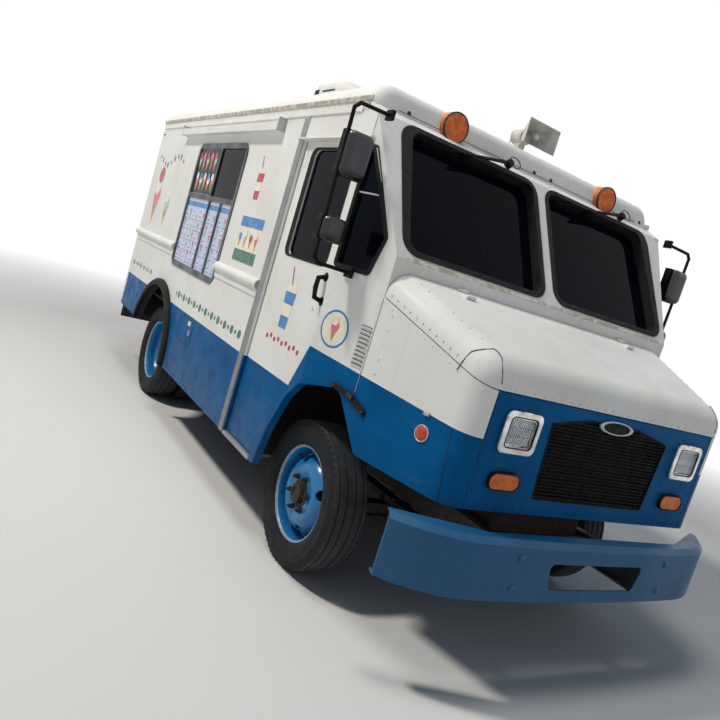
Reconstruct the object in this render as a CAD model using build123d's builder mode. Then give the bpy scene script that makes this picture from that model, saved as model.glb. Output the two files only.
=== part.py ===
from build123d import *

import os
from math import atan, cos, degrees, hypot, radians, sin, sqrt, tan

os.makedirs("parts", exist_ok=True)

# Walk-in ice cream truck at full size, in millimetres. +Z is up, the front faces -Y, the kerb side
# with the serving window is -X, and z = 0 is the road. Every station below is a distance rearwards
# from the front axle, so what lies ahead of that axle is negative.

# Fits
RUNNING_FIT = 0.05
SEAT_GAP = 0.3

# Wheels and tyres
TYRE_R = 405.5
TYRE_W = 226.0
RIM_FLANGE_R = 264.0
RIM_W = 172.0
RIM_T = 12.0
TYRE_SEAT_R = RIM_FLANGE_R + SEAT_GAP
FRONT_TRACK_HALF = 952.0
DUAL_CENTRE = 860.0
DUAL_SPACING = 254.0
WHEELBASE = 3175.0
SPINDLE_R = 30.0
REAR_SPINDLE_R = 45.0

# Body shell
BODY_HALF = 1185.0
WALL_T = 45.0
SILL_Z = 418.0
REAR_SKIRT_Z = 590.0
EAVE_Z = 2450.0
ROOF_TOP_Z = 2636.0
ROOF_EDGE_R = 136.0
ROOF_T = 30.0
HEADER_S = 185.0
HEADER_R = 76.0
BODY_REAR_S = 4442.0
FLOOR_Z = 650.0
FLOOR_T = 30.0

# Rear wheel arch
REAR_ARCH_S = WHEELBASE - 100.0
REAR_ARCH_Z = 440.0
REAR_ARCH_R = 565.0
FLARE_W = 60.0
FLARE_D = 38.0
FLARE_EASE = 18.0

# Nose and cab front: the sides taper inwards from the cab door's front edge
TAPER = 0.26
DOOR_FRONT_S = 75.0
SEAM_S = -317.0
NOSE_S = -985.0
NOSE_WALL_T = 25.0
NOSE_BOTTOM_Z = 795.0
NOSE_R = 135.0
HOOD_REAR_Z = 1706.0
HOOD_FALL = 0.355
HOOD_SEAM_FRONT_Z = 1340.0
HOOD_SEAM_FALL = 0.34
MOVE_GAP = 5.0

# Windscreens: the glass plane leans back from its bottom edge
SCREEN_BOTTOM_S = -245.0
SCREEN_BOTTOM_Z = 1770.0
SCREEN_TOP_S = 130.0
SCREEN_TOP_Z = 2410.0
SCREEN_RECESS = 62.0
CAP_T = 78.0
SCREEN_INNER_X = 44.0
SCREEN_OUTER_BOTTOM_X = 1027.0
SCREEN_OUTER_TOP_X = 989.0
SCREEN_CORNER_R = 85.0
GLASS_T = 8.0
PILLAR_W = 60.0
SHOULDER_RISE = 53.0

# Cab doors: sliding, behind the outer skin
DOOR_REAR_S = 880.0
DOOR_OPENING_TOP_Z = 2300.0
DOOR_KNEE_Z = 1202.0
DOOR_MID_S = 201.0
DOOR_MID_Z = 923.0
DOOR_FOOT_S = 420.0
SKIN_T = 18.0
DOOR_T = 30.0
DOOR_LAP = 30.0
DOOR_TRAVEL = 780.0
DOOR_BOTTOM_Z = 442.0
DOOR_GLASS_S0 = 211.0
DOOR_GLASS_S1 = 735.0
DOOR_GLASS_Z0 = 1620.0
DOOR_GLASS_Z1 = 2256.0
STEP_Z = 433.0
STEP_T = 23.0

# Serving window on the kerb side
SERVE_S0 = 1790.0
SERVE_S1 = 2980.0
SERVE_Z0 = 1230.0
SERVE_Z1 = 2290.0
SERVE_RAIL_Z = 1848.0
SERVE_BAR = 34.0
SERVE_PROUD = 8.0

# Rear doors
REAR_OPENING_HALF = BODY_HALF - 65
REAR_OPENING_TOP_Z = 2335.0
REAR_DOOR_T = 40.0
REAR_HINGE_X = BODY_HALF - 15
REAR_HINGE_OUT = 16.0
REAR_HINGE_Z = (1041.0, 1657.0, 2270.0)

# Front bumper
BUMPER_S = -1165.0
BUMPER_END_S = -940.0
BUMPER_END_X = 1140.0
BUMPER_TOP_Z = 735.0
BUMPER_BOTTOM_Z = 448.0
BUMPER_T = 8.0
BUMPER_FLANGE = 75.0
REAR_BUMPER_DEPTH = 128.0

# Chassis
RAIL_X = 402.0
RAIL_W = 60.0
RAIL_H = 140.0
RAIL_T = 10.0
RAIL_FRONT_S = -1080.0
BRACKET_S = BUMPER_S + 16.3
KINGPIN_X = 800.0
KINGPIN_R = 15.0
AXLE_Z = TYRE_R
STEER_ARM = 160.0

# The part's own frame: origin on the road, below the middle of the overall length
REAR_END_S = BODY_REAR_S + REAR_BUMPER_DEPTH
MIDDLE_S = (BUMPER_S + REAR_END_S) / 2
RAKE = atan((SCREEN_TOP_S - SCREEN_BOTTOM_S) / (SCREEN_TOP_Z - SCREEN_BOTTOM_Z))
SCREEN_H = hypot(SCREEN_TOP_S - SCREEN_BOTTOM_S, SCREEN_TOP_Z - SCREEN_BOTTOM_Z)
REACH = 2000.0
KERB, DRIVER = -1, 1
SIDES = ((KERB, "kerb"), (DRIVER, "driver"))


def y_at(s):
    """Model y of a station s behind the front axle."""
    return s - MIDDLE_S


def side_plane(x):
    """Upright plane along the truck at x: local x is the station, local y the height."""
    return Plane(origin=(x, y_at(0), 0), x_dir=(0, 1, 0), z_dir=(1, 0, 0))


def plan_plane(z):
    """Level plane at height z: local x is across the truck, local y the station."""
    return Plane(origin=(0, y_at(0), z))


def cross_plane(s):
    """Upright plane across the truck at a station; extruding goes forwards."""
    return Plane(origin=(0, y_at(s), 0), x_dir=(1, 0, 0), z_dir=(0, -1, 0))


def axle_line(s):
    return Axis((0, y_at(s), AXLE_Z), (1, 0, 0))


def box(x0, x1, s0, s1, z0, z1, mode=Mode.ADD):
    """Block between two x, two stations and two heights, in the open part."""
    with Locations(((x0 + x1) / 2, y_at((s0 + s1) / 2), (z0 + z1) / 2)):
        Box(abs(x1 - x0), abs(s1 - s0), abs(z1 - z0), mode=mode)


def finish(builder, name):
    builder.part.label = name
    export_step(builder.part, "parts/" + name + ".step")


def taper_x(s):
    """Half width of the tapered cab sides at a station ahead of the door."""
    return BODY_HALF + TAPER * (min(s, DOOR_FRONT_S) - DOOR_FRONT_S)


def hood_top(s):
    return HOOD_REAR_Z + HOOD_FALL * (s - SEAM_S)


def hood_seam(s):
    return HOOD_SEAM_FRONT_Z + HOOD_SEAM_FALL * (s - NOSE_S)


def face_s(z):
    """Station of the cab front's raked outer face at height z."""
    return SCREEN_BOTTOM_S + (z - SCREEN_BOTTOM_Z) * tan(RAKE) - SCREEN_RECESS / cos(RAKE)


def screen_plane(out):
    """Plane of the windscreens, moved outwards: local y runs up the glass."""
    origin = (0, y_at(SCREEN_BOTTOM_S) - out * cos(RAKE), SCREEN_BOTTOM_Z + out * sin(RAKE))
    return Plane(origin=origin, x_dir=(1, 0, 0), z_dir=(0, -cos(RAKE), sin(RAKE)))


FACE_BOTTOM_Z = SCREEN_BOTTOM_Z + (SEAM_S - face_s(SCREEN_BOTTOM_Z)) / tan(RAKE)
BULKHEAD_S = SEAM_S + WALL_T
REAR_FRAME_S = BODY_REAR_S - WALL_T

# Outline of the front wheel arch, on the side of the truck: station, height
FRONT_ARCH = [(-418, 799), (-206, 1062), (80, 990), (190, 880), (300, 650), (355, SILL_Z)]
WELL_X = 560.0
WELL_REAR_S = 497.0
WELL_TOP_Z = 1062.0

# Tools that cut more than one piece: the front arch's outline, open below
with BuildPart() as front_arch:
    for side, _ in SIDES:
        with BuildSketch(side_plane(side * WELL_X)):
            with BuildLine():
                edge = FilletPolyline(*FRONT_ARCH, radius=90)
                Polyline(
                    edge @ 1, (FRONT_ARCH[-1][0], 0), (3 * SEAM_S, 0), (3 * SEAM_S, NOSE_BOTTOM_Z),
                    (-440, NOSE_BOTTOM_Z), edge @ 0,
                )
            make_face()
        extrude(amount=side * (BODY_HALF + 100 - WELL_X))


def nose_block(inset):
    """The nose as one solid block, its faces moved inwards by inset."""
    radius = NOSE_R - inset
    front = NOSE_S + inset
    half = [taper_x(s) - inset * sqrt(1 + TAPER**2) for s in (SEAM_S, front)]
    with BuildPart() as block:
        with BuildSketch(plan_plane(NOSE_BOTTOM_Z)):
            Polygon(
                (-half[0], SEAM_S), (-half[1], front), (half[1], front), (half[0], SEAM_S),
                align=None,
            )
        extrude(amount=HOOD_REAR_Z - NOSE_BOTTOM_Z + 1)
        with BuildSketch(side_plane(-REACH)):
            drop = inset * sqrt(1 + HOOD_FALL**2)
            Polygon(
                (SEAM_S, hood_top(SEAM_S) - drop), (3 * NOSE_S, hood_top(3 * NOSE_S) - drop),
                (3 * NOSE_S, 3 * HOOD_REAR_Z), (SEAM_S, 3 * HOOD_REAR_Z),
                align=None,
            )
        extrude(amount=2 * REACH, mode=Mode.SUBTRACT)
        upright = block.edges().filter_by(Axis.Z).group_by(Axis.Y)[0]
        roof = block.faces().sort_by(Axis.Z)[-1]
        rim = roof.edges().group_by(Axis.Y)[:-1]
        fillet(upright + [e for group in rim for e in group], radius=radius)
    return block.part


# Chassis frame: two channel rails, cross members, spring hangers and bumper brackets
CROSS_MEMBERS = (-800, 620, 1500, 2500, 3900)
RAIL_Z0 = FLOOR_Z - FLOOR_T - RAIL_H
FRONT_SPRING_S = 560.0
REAR_SPRING_S = 640.0
FRONT_SPRING_X = RAIL_X
REAR_SPRING_X = 480.0
SPRING_W = 76.0
SPRING_T = 36.0
HANGER = 60.0
FRONT_SPRING_Z = 400.0
REAR_SPRING_Z = 462.0
with BuildPart() as chassis_frame:
    for side, _ in SIDES:
        inner = side * (RAIL_X - RAIL_W / 2)
        outer = side * (RAIL_X + RAIL_W / 2)
        rail_rear = REAR_FRAME_S
        box(inner, outer, RAIL_FRONT_S, rail_rear, RAIL_Z0, RAIL_Z0 + RAIL_H)
        box(
            inner, outer - side * RAIL_T, RAIL_FRONT_S, rail_rear,
            RAIL_Z0 + RAIL_T, RAIL_Z0 + RAIL_H - RAIL_T, mode=Mode.SUBTRACT,
        )
        for end in (-FRONT_SPRING_S, FRONT_SPRING_S):
            box(
                side * (FRONT_SPRING_X - SPRING_W / 2), side * (FRONT_SPRING_X + SPRING_W / 2),
                end - HANGER / 2, end + HANGER / 2, FRONT_SPRING_Z + SPRING_T, RAIL_Z0,
            )
        for end in (-REAR_SPRING_S, REAR_SPRING_S):
            box(
                outer, side * (REAR_SPRING_X + SPRING_W / 2), WHEELBASE + end - HANGER / 2,
                WHEELBASE + end + HANGER / 2, REAR_SPRING_Z + SPRING_T, RAIL_Z0 + RAIL_H - RAIL_T,
            )
        box(inner, outer, BRACKET_S, RAIL_FRONT_S, RAIL_Z0, RAIL_Z0 + RAIL_H)
    for s in CROSS_MEMBERS:
        box(-RAIL_X, RAIL_X, s - 35, s + 35, RAIL_Z0 + 90, RAIL_Z0 + 130)
finish(chassis_frame, "chassis_frame")

# Leaf springs, one pack over each end of the two axles
with BuildPart() as leaf_springs:
    for x, s, half, z in (
        (FRONT_SPRING_X, 0, FRONT_SPRING_S, FRONT_SPRING_Z),
        (REAR_SPRING_X, WHEELBASE, REAR_SPRING_S, REAR_SPRING_Z),
    ):
        for side, _ in SIDES:
            near, far = side * (x - SPRING_W / 2), side * (x + SPRING_W / 2)
            box(near, far, s - half - HANGER / 2, s + half + HANGER / 2, z + SPRING_T / 2, z + SPRING_T)
            box(near, far, s - half * 0.6, s + half * 0.6, z, z + SPRING_T / 2)
finish(leaf_springs, "leaf_springs")

# Front axle: forged I-beam with a kingpin eye at each end
BEAM_W = 76.0
BEAM_Z0 = 310.0
EYE_R = 32.0
EYE_H = 60.0
EYE_Z = AXLE_Z
with BuildPart() as front_axle_beam:
    box(-600, 600, -BEAM_W / 2, BEAM_W / 2, BEAM_Z0, FRONT_SPRING_Z)
    for side, _ in SIDES:
        with BuildSketch(cross_plane(BEAM_W / 2)):
            Polygon(
                (side * 560, BEAM_Z0), (side * 600, BEAM_Z0), (side * 715, EYE_Z - 22),
                (side * KINGPIN_X, EYE_Z - 22), (side * KINGPIN_X, EYE_Z + 22), (side * 715, EYE_Z + 22),
                (side * 600, FRONT_SPRING_Z), (side * 560, FRONT_SPRING_Z),
                align=None,
            )
        extrude(amount=BEAM_W)
        for face in (-BEAM_W / 2, BEAM_W / 2 - 26):
            box(side * 60, side * 640, face, face + 26, BEAM_Z0 + 16, FRONT_SPRING_Z - 16, mode=Mode.SUBTRACT)
    for side, _ in SIDES:
        box(
            side * (KINGPIN_X - 20), side * (KINGPIN_X + EYE_R + 20), -BEAM_W, BEAM_W,
            0, 2 * EYE_Z, mode=Mode.SUBTRACT,
        )
        with Locations((side * KINGPIN_X, y_at(0), EYE_Z)):
            Cylinder(EYE_R, EYE_H)
            Cylinder(KINGPIN_R + RUNNING_FIT, EYE_H, mode=Mode.SUBTRACT)
finish(front_axle_beam, "front_axle_beam")

# Steering knuckles: yoke round the axle's eye, kingpin, wheel spindle and steering arm
YOKE_GAP = 2.0
YOKE_T = 20.0
YOKE_R = EYE_R
YOKE_WEB = 24.0
ARM_Z = EYE_Z - EYE_H / 2 - YOKE_GAP - YOKE_T
TIE_PIN_R = 10.0
TIE_ROD_R = 14.0
SPINDLE_END_X = 1000.0
for side, name in ((DRIVER, "left"), (KERB, "right")):
    with BuildPart() as knuckle:
        web_x = KINGPIN_X + EYE_R + 8
        for z in (ARM_Z, EYE_Z + EYE_H / 2 + YOKE_GAP):
            with Locations((side * KINGPIN_X, y_at(0), z + YOKE_T / 2)):
                Cylinder(YOKE_R, YOKE_T)
            box(side * KINGPIN_X, side * (web_x + YOKE_WEB), -YOKE_R, YOKE_R, z, z + YOKE_T)
        top = EYE_Z + EYE_H / 2 + YOKE_GAP + YOKE_T
        box(side * web_x, side * (web_x + YOKE_WEB), -YOKE_R, YOKE_R, ARM_Z, top)
        with Locations((side * KINGPIN_X, y_at(0), (ARM_Z + top) / 2)):
            Cylinder(KINGPIN_R, top - ARM_Z)
        with BuildSketch(Plane.YZ.offset(side * web_x)):
            with Locations((y_at(0), AXLE_Z)):
                Circle(SPINDLE_R)
        extrude(amount=side * (SPINDLE_END_X - web_x))
        box(
            side * (KINGPIN_X - 15), side * (KINGPIN_X + 15), 0, STEER_ARM, ARM_Z, ARM_Z + YOKE_T,
        )
        with Locations((side * KINGPIN_X, y_at(STEER_ARM), ARM_Z + YOKE_T / 2)):
            Cylinder(24, YOKE_T)
        with Locations((side * KINGPIN_X, y_at(STEER_ARM), ARM_Z - TIE_ROD_R)):
            Cylinder(TIE_PIN_R, 2 * TIE_ROD_R + YOKE_T)
    finish(knuckle, "knuckle_" + name)

# Tie rod between the two steering arms, an eye at each end
with BuildPart() as tie_rod:
    tie_z = ARM_Z - TIE_ROD_R - YOKE_GAP
    with BuildSketch(Plane.YZ.offset(-KINGPIN_X + 20)):
        with Locations((y_at(STEER_ARM), tie_z)):
            Circle(TIE_ROD_R - 2)
    extrude(amount=2 * (KINGPIN_X - 20))
    for side, _ in SIDES:
        with Locations((side * KINGPIN_X, y_at(STEER_ARM), tie_z)):
            Cylinder(26, 2 * TIE_ROD_R - 4)
            Cylinder(TIE_PIN_R + RUNNING_FIT, 2 * TIE_ROD_R, mode=Mode.SUBTRACT)
finish(tie_rod, "tie_rod")

# Rear axle: tubes, differential housing and spring seats
AXLE_TUBE_R = 55.0
DIFF_R = 165.0
DIFF_HALF = 110.0
REAR_SPINDLE_END_X = 930.0
with BuildPart() as rear_axle:
    with BuildSketch(Plane.YZ.offset(-640)):
        with Locations((y_at(WHEELBASE), AXLE_Z)):
            Circle(AXLE_TUBE_R)
    extrude(amount=1280)
    with BuildSketch(Plane.YZ.offset(-REAR_SPINDLE_END_X)):
        with Locations((y_at(WHEELBASE), AXLE_Z)):
            Circle(REAR_SPINDLE_R)
    extrude(amount=2 * REAR_SPINDLE_END_X)
    with BuildSketch(cross_plane(WHEELBASE - DIFF_HALF)):
        with Locations((0, AXLE_Z)):
            Circle(DIFF_R)
    extrude(amount=-2 * DIFF_HALF)
    with BuildSketch(cross_plane(WHEELBASE)):
        with Locations((0, AXLE_Z)):
            Circle(60)
    extrude(amount=DIFF_R + 70)
    for side, _ in SIDES:
        box(
            side * (REAR_SPRING_X - SPRING_W / 2), side * (REAR_SPRING_X + SPRING_W / 2),
            WHEELBASE - 70, WHEELBASE + 70, AXLE_Z - 30, REAR_SPRING_Z,
        )
finish(rear_axle, "rear_axle")

# Engine and gearbox as one plain block, and the shaft from it to the rear axle
ENGINE = (-330, 330, -720, 300, 470, 1050)
GEARBOX_END_S = 1050.0
SHAFT_R = 45.0
DIFF_NOSE_S = WHEELBASE - DIFF_R - 70
with BuildPart() as engine_block:
    box(*ENGINE)
    box(-150, 150, ENGINE[3], GEARBOX_END_S, 355, 560)
finish(engine_block, "engine_block")

with BuildPart() as drive_shaft:
    with BuildSketch(cross_plane(GEARBOX_END_S + SEAT_GAP)):
        with Locations((0, AXLE_Z)):
            Circle(SHAFT_R)
    extrude(amount=GEARBOX_END_S - DIFF_NOSE_S + 2 * SEAT_GAP)
finish(drive_shaft, "drive_shaft")

# Fuel tank on the driver's side and exhaust on the kerb side, both hung below the floor
with BuildPart() as fuel_tank:
    box(500, 960, 1150, 2150, 440, FLOOR_Z - FLOOR_T)
    fillet(fuel_tank.edges().filter_by(Axis.Y), radius=45)
finish(fuel_tank, "fuel_tank")

MUFFLER_R = 75.0
with BuildPart() as exhaust_pipe:
    with BuildSketch(cross_plane(1150)):
        with Locations((-640, 500)):
            SlotOverall(2 * MUFFLER_R + 70, 2 * MUFFLER_R)
    extrude(amount=-700)
    with BuildSketch(cross_plane(1850)):
        with Locations((-590, 500)):
            Circle(27)
    extrude(amount=-(2300 - 1850))
    box(-660, -620, 1300, 1340, 560, FLOOR_Z - FLOOR_T)
    box(-660, -620, 1700, 1740, 560, FLOOR_Z - FLOOR_T)
finish(exhaust_pipe, "exhaust_pipe")

# Tyres: solid rings, front one each side, rear two each side
TYRE_SECTION = [
    (-TYRE_W / 2, TYRE_SEAT_R), (-TYRE_W / 2, TYRE_R), (TYRE_W / 2, TYRE_R), (TYRE_W / 2, TYRE_SEAT_R),
]
OUTER_DUAL_X = DUAL_CENTRE + DUAL_SPACING / 2
INNER_DUAL_X = DUAL_CENTRE - DUAL_SPACING / 2


def axle_plane(side, x, s):
    """Radial plane of the wheel whose middle stands at x and s."""
    return Plane(origin=(side * x, y_at(s), AXLE_Z), x_dir=(side, 0, 0), z_dir=(0, -side, 0))


def ring(side, x, s, section):
    """Turned ring on a wheel's axis from its section: width outwards, radius."""
    with BuildPart() as turned:
        with BuildSketch(axle_plane(side, x, s)):
            Polygon(*section, align=None)
        revolve(axis=axle_line(s))
    return turned.part


for side, name in ((DRIVER, "left"), (KERB, "right")):
    with BuildPart() as tyre_front:
        add(ring(side, FRONT_TRACK_HALF, 0, TYRE_SECTION))
    finish(tyre_front, "tyre_front_" + name)
    with BuildPart() as tyres_rear:
        add(ring(side, OUTER_DUAL_X, WHEELBASE, TYRE_SECTION))
        add(ring(side, INNER_DUAL_X, WHEELBASE, TYRE_SECTION))
    finish(tyres_rear, "tyres_rear_" + name)

# Steel wheels: rim barrel with flanges, dished disc with hand holes, hub with its bore
HALF_RIM = RIM_W / 2
BARREL_R = RIM_FLANGE_R - RIM_T
DISC_R = BARREL_R + 1
BARREL = [
    (-HALF_RIM, BARREL_R), (HALF_RIM, BARREL_R), (HALF_RIM, RIM_FLANGE_R), (-HALF_RIM, RIM_FLANGE_R),
]
FRONT_DISC = [
    (-82, 0), (-82, 60), (54, 60), (54, DISC_R), (66, DISC_R), (66, 48), (102, 48), (102, 0),
]
REAR_DISC = [
    (-168, 0), (-168, 75), (-80, 75), (-80, DISC_R), (-68, DISC_R), (-68, 66), (-20, 66), (-20, 0),
]
INNER_DRUM = [(-HALF_RIM, 0), (-HALF_RIM, RIM_FLANGE_R), (HALF_RIM, RIM_FLANGE_R), (HALF_RIM, 0)]
HAND_HOLES = 4
HAND_HOLE_R = 30.0
HAND_HOLE_PCR = 196.0
HAND_HOLE_TURN = 20.0


def axle_plane_across(side, x, s):
    """Plane square to a wheel's axis; local x points forwards, extruding goes outwards."""
    return Plane(origin=(side * x, y_at(s), AXLE_Z), x_dir=(0, -1, 0), z_dir=(side, 0, 0))


def hand_holes(side, x, s):
    """Cutting bars for the hand holes in a wheel's disc."""
    with BuildPart() as bars:
        with BuildSketch(axle_plane_across(side, x, s)):
            with PolarLocations(HAND_HOLE_PCR, HAND_HOLES, start_angle=HAND_HOLE_TURN):
                Circle(HAND_HOLE_R)
        extrude(amount=110)
    return bars.part


for side, name in ((DRIVER, "left"), (KERB, "right")):
    with BuildPart() as rim_front:
        for section in (BARREL, FRONT_DISC):
            add(ring(side, FRONT_TRACK_HALF, 0, section))
        add(hand_holes(side, FRONT_TRACK_HALF + 5, 0), mode=Mode.SUBTRACT)
        with BuildSketch(axle_plane_across(side, 0, 0)):
            Circle(SPINDLE_R + RUNNING_FIT)
        extrude(amount=SPINDLE_END_X + 5, mode=Mode.SUBTRACT)
    finish(rim_front, "rim_front_" + name)
    with BuildPart() as rims_rear:
        for x, sections in (
            (OUTER_DUAL_X, (BARREL, REAR_DISC)),
            (INNER_DUAL_X, (INNER_DRUM,)),
        ):
            for section in sections:
                add(ring(side, x, WHEELBASE, section))
        add(hand_holes(side, INNER_DUAL_X + HALF_RIM + 5, WHEELBASE), mode=Mode.SUBTRACT)
        with BuildSketch(axle_plane_across(side, 0, WHEELBASE)):
            Circle(REAR_SPINDLE_R + RUNNING_FIT)
        extrude(amount=REAR_SPINDLE_END_X + 5, mode=Mode.SUBTRACT)
    finish(rims_rear, "rims_rear_" + name)

# Floor: one deck with boxes over the wheels and wells at the two cab steps
BOX_T = 12.0
REAR_BOX_X = 595.0
REAR_BOX_TOP_Z = 880.0
REAR_BOX_HALF = 560.0
STEP_X = 860.0
STEP_S0 = 510.0
STEP_S1 = 905.0
INNER_HALF = BODY_HALF - WALL_T
DOOR_IN_X = BODY_HALF - SKIN_T - MOVE_GAP - DOOR_T - MOVE_GAP
DECK_EDGE = DOOR_IN_X - 8
with BuildPart() as floor_deck:
    box(
        -INNER_HALF, INNER_HALF, BULKHEAD_S + SEAT_GAP, REAR_FRAME_S - SEAT_GAP, FLOOR_Z - FLOOR_T, FLOOR_Z,
    )
    for side, _ in SIDES:
        box(
            side * (WELL_X - BOX_T), side * DECK_EDGE, BULKHEAD_S + SEAT_GAP, WELL_REAR_S + BOX_T,
            FLOOR_Z, WELL_TOP_Z + BOX_T,
        )
        box(
            side * (REAR_BOX_X - BOX_T), side * INNER_HALF, WHEELBASE - REAR_BOX_HALF - BOX_T,
            WHEELBASE + REAR_BOX_HALF + BOX_T, FLOOR_Z, REAR_BOX_TOP_Z + BOX_T,
        )
        box(
            side * (STEP_X - BOX_T), side * INNER_HALF, STEP_S0 - BOX_T, STEP_S1 + BOX_T,
            STEP_Z, FLOOR_Z - FLOOR_T,
        )
    for side, _ in SIDES:
        with BuildSketch(plan_plane(0)):
            inset = WALL_T * sqrt(1 + TAPER**2) + SEAT_GAP
            Polygon(
                (side * (taper_x(2 * SEAM_S) - inset), 2 * SEAM_S),
                (side * (BODY_HALF - inset), DOOR_FRONT_S), (side * REACH, DOOR_FRONT_S),
                (side * REACH, 2 * SEAM_S),
                align=None,
            )
        extrude(amount=2 * FLOOR_Z, mode=Mode.SUBTRACT)
        box(side * WELL_X, side * BODY_HALF, BULKHEAD_S - 1, WELL_REAR_S, 0, WELL_TOP_Z, mode=Mode.SUBTRACT)
        box(
            side * REAR_BOX_X, side * (INNER_HALF + 1), WHEELBASE - REAR_BOX_HALF,
            WHEELBASE + REAR_BOX_HALF, 0, REAR_BOX_TOP_Z, mode=Mode.SUBTRACT,
        )
        box(side * STEP_X, side * BODY_HALF, STEP_S0, STEP_S1, 0, FLOOR_Z + 1, mode=Mode.SUBTRACT)
        box(
            side * DECK_EDGE, side * BODY_HALF, SEAM_S, DOOR_REAR_S + DOOR_TRAVEL + 2 * DOOR_LAP + 20,
            0, 3 * FLOOR_Z, mode=Mode.SUBTRACT,
        )
    box(
        ENGINE[0] - 20, ENGINE[1] + 20, BULKHEAD_S - 1, ENGINE[3] + 20, 0, FLOOR_Z + 1,
        mode=Mode.SUBTRACT,
    )
    box(
        -ENGINE[1] - 35, ENGINE[1] + 35, BULKHEAD_S + SEAT_GAP, ENGINE[3] + 35, FLOOR_Z, ENGINE[5] + 35,
    )
    box(
        -ENGINE[1] - 20, ENGINE[1] + 20, BULKHEAD_S - 1, ENGINE[3] + 20, 0, ENGINE[5] + 20,
        mode=Mode.SUBTRACT,
    )
finish(floor_deck, "floor_deck")

# Step treads: a plate in each well and a narrow strip along the outside
STEP_FRONT_S = 392.0
with BuildPart() as step_treads:
    for side, _ in SIDES:
        box(side * STEP_X, side * INNER_HALF, STEP_S0, STEP_S1, STEP_Z - STEP_T, STEP_Z)
        box(side * INNER_HALF, side * BODY_HALF, STEP_FRONT_S + 33, DOOR_REAR_S, STEP_Z - STEP_T, STEP_Z)
finish(step_treads, "step_treads")

# Side walls: 45 thick, thinned to a skin where the cab door slides back inside them
POCKET_END_S = DOOR_REAR_S + DOOR_TRAVEL + 2 * DOOR_LAP + 15
POCKET_TOP_Z = DOOR_OPENING_TOP_Z + DOOR_LAP - 8
TRACK_Z = POCKET_TOP_Z + 8
TRACK_T = 15.0
TRACK_W = 55.0
for side, name in SIDES:
    with BuildPart() as side_wall:
        with BuildSketch(side_plane(side * BODY_HALF)) as outline:
            Polygon(
                (DOOR_FRONT_S, EAVE_Z), (DOOR_FRONT_S, DOOR_OPENING_TOP_Z),
                (DOOR_REAR_S, DOOR_OPENING_TOP_Z), (DOOR_REAR_S, SILL_Z), (REAR_ARCH_S, SILL_Z),
                (REAR_ARCH_S, REAR_SKIRT_Z), (REAR_FRAME_S, REAR_SKIRT_Z), (REAR_FRAME_S, EAVE_Z),
                align=None,
            )
            with Locations((REAR_ARCH_S, REAR_ARCH_Z)):
                Circle(REAR_ARCH_R, mode=Mode.SUBTRACT)
            if side == KERB:
                with Locations(((SERVE_S0 + SERVE_S1) / 2, (SERVE_Z0 + SERVE_Z1) / 2)):
                    Rectangle(
                        SERVE_S1 - SERVE_S0 - 2 * SERVE_BAR, SERVE_Z1 - SERVE_Z0 - 2 * SERVE_BAR,
                        mode=Mode.SUBTRACT,
                    )
        extrude(amount=-side * WALL_T)
        box(
            side * (BODY_HALF - SKIN_T), side * (INNER_HALF - 1), DOOR_FRONT_S - 1, POCKET_END_S,
            SILL_Z + 6, POCKET_TOP_Z, mode=Mode.SUBTRACT,
        )
        box(
            side * (INNER_HALF - TRACK_W), side * INNER_HALF, DOOR_FRONT_S + 55, POCKET_END_S,
            TRACK_Z, TRACK_Z + TRACK_T,
        )
    finish(side_wall, "side_wall_" + name)

# Cab doors: sliding leaves that follow the wheel arch, hung on two hooks from the track
DOOR_OUT_X = BODY_HALF - SKIN_T - MOVE_GAP
DOOR_EDGE_GAP = 8.0
DOOR_REAR_EDGE_S = DOOR_REAR_S + DOOR_LAP
DOOR_TOP_Z = POCKET_TOP_Z - 8
HOOK_W = 50.0
HOOK_STATIONS = (200.0, 780.0)
DOOR_WINDOW_R = 55.0
HOOK_T = 8.0


def door_window():
    with Locations(((DOOR_GLASS_S0 + DOOR_GLASS_S1) / 2, (DOOR_GLASS_Z0 + DOOR_GLASS_Z1) / 2)):
        RectangleRounded(DOOR_GLASS_S1 - DOOR_GLASS_S0, DOOR_GLASS_Z1 - DOOR_GLASS_Z0, DOOR_WINDOW_R)


for side, name in SIDES:
    with BuildPart() as cab_door:
        foot_s = DOOR_FOOT_S - (DOOR_BOTTOM_Z - SILL_Z) * (DOOR_FOOT_S - DOOR_MID_S) / (DOOR_MID_Z - SILL_Z)
        with BuildSketch(side_plane(side * DOOR_OUT_X)):
            Polygon(
                (DOOR_FRONT_S + DOOR_EDGE_GAP, DOOR_TOP_Z), (DOOR_REAR_EDGE_S, DOOR_TOP_Z),
                (DOOR_REAR_EDGE_S, DOOR_BOTTOM_Z), (foot_s + DOOR_EDGE_GAP, DOOR_BOTTOM_Z),
                (DOOR_MID_S + DOOR_EDGE_GAP, DOOR_MID_Z), (DOOR_FRONT_S + DOOR_EDGE_GAP, DOOR_KNEE_Z),
                align=None,
            )
        extrude(amount=-side * DOOR_T)
        with BuildSketch(side_plane(side * DOOR_OUT_X)):
            door_window()
        extrude(amount=-side * DOOR_T, mode=Mode.SUBTRACT)
        hook_x = INNER_HALF - TRACK_W - MOVE_GAP - HOOK_T
        for s in HOOK_STATIONS:
            box(
                side * (DOOR_OUT_X - DOOR_T), side * hook_x, s, s + HOOK_W,
                DOOR_TOP_Z - 26, DOOR_TOP_Z - 14,
            )
            box(
                side * hook_x, side * (hook_x + HOOK_T), s, s + HOOK_W,
                DOOR_TOP_Z - 26, TRACK_Z + TRACK_T + 14,
            )
            box(
                side * hook_x, side * (INNER_HALF - 20), s, s + HOOK_W,
                TRACK_Z + TRACK_T + SEAT_GAP, TRACK_Z + TRACK_T + 14,
            )
    finish(cab_door, "cab_door_" + name)
    with BuildPart() as door_glass:
        with BuildSketch(side_plane(side * (DOOR_OUT_X - DOOR_T / 2))):
            door_window()
            offset(amount=-SEAT_GAP)
        extrude(amount=-side * GLASS_T)
    finish(door_glass, "door_glass_" + name)

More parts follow.
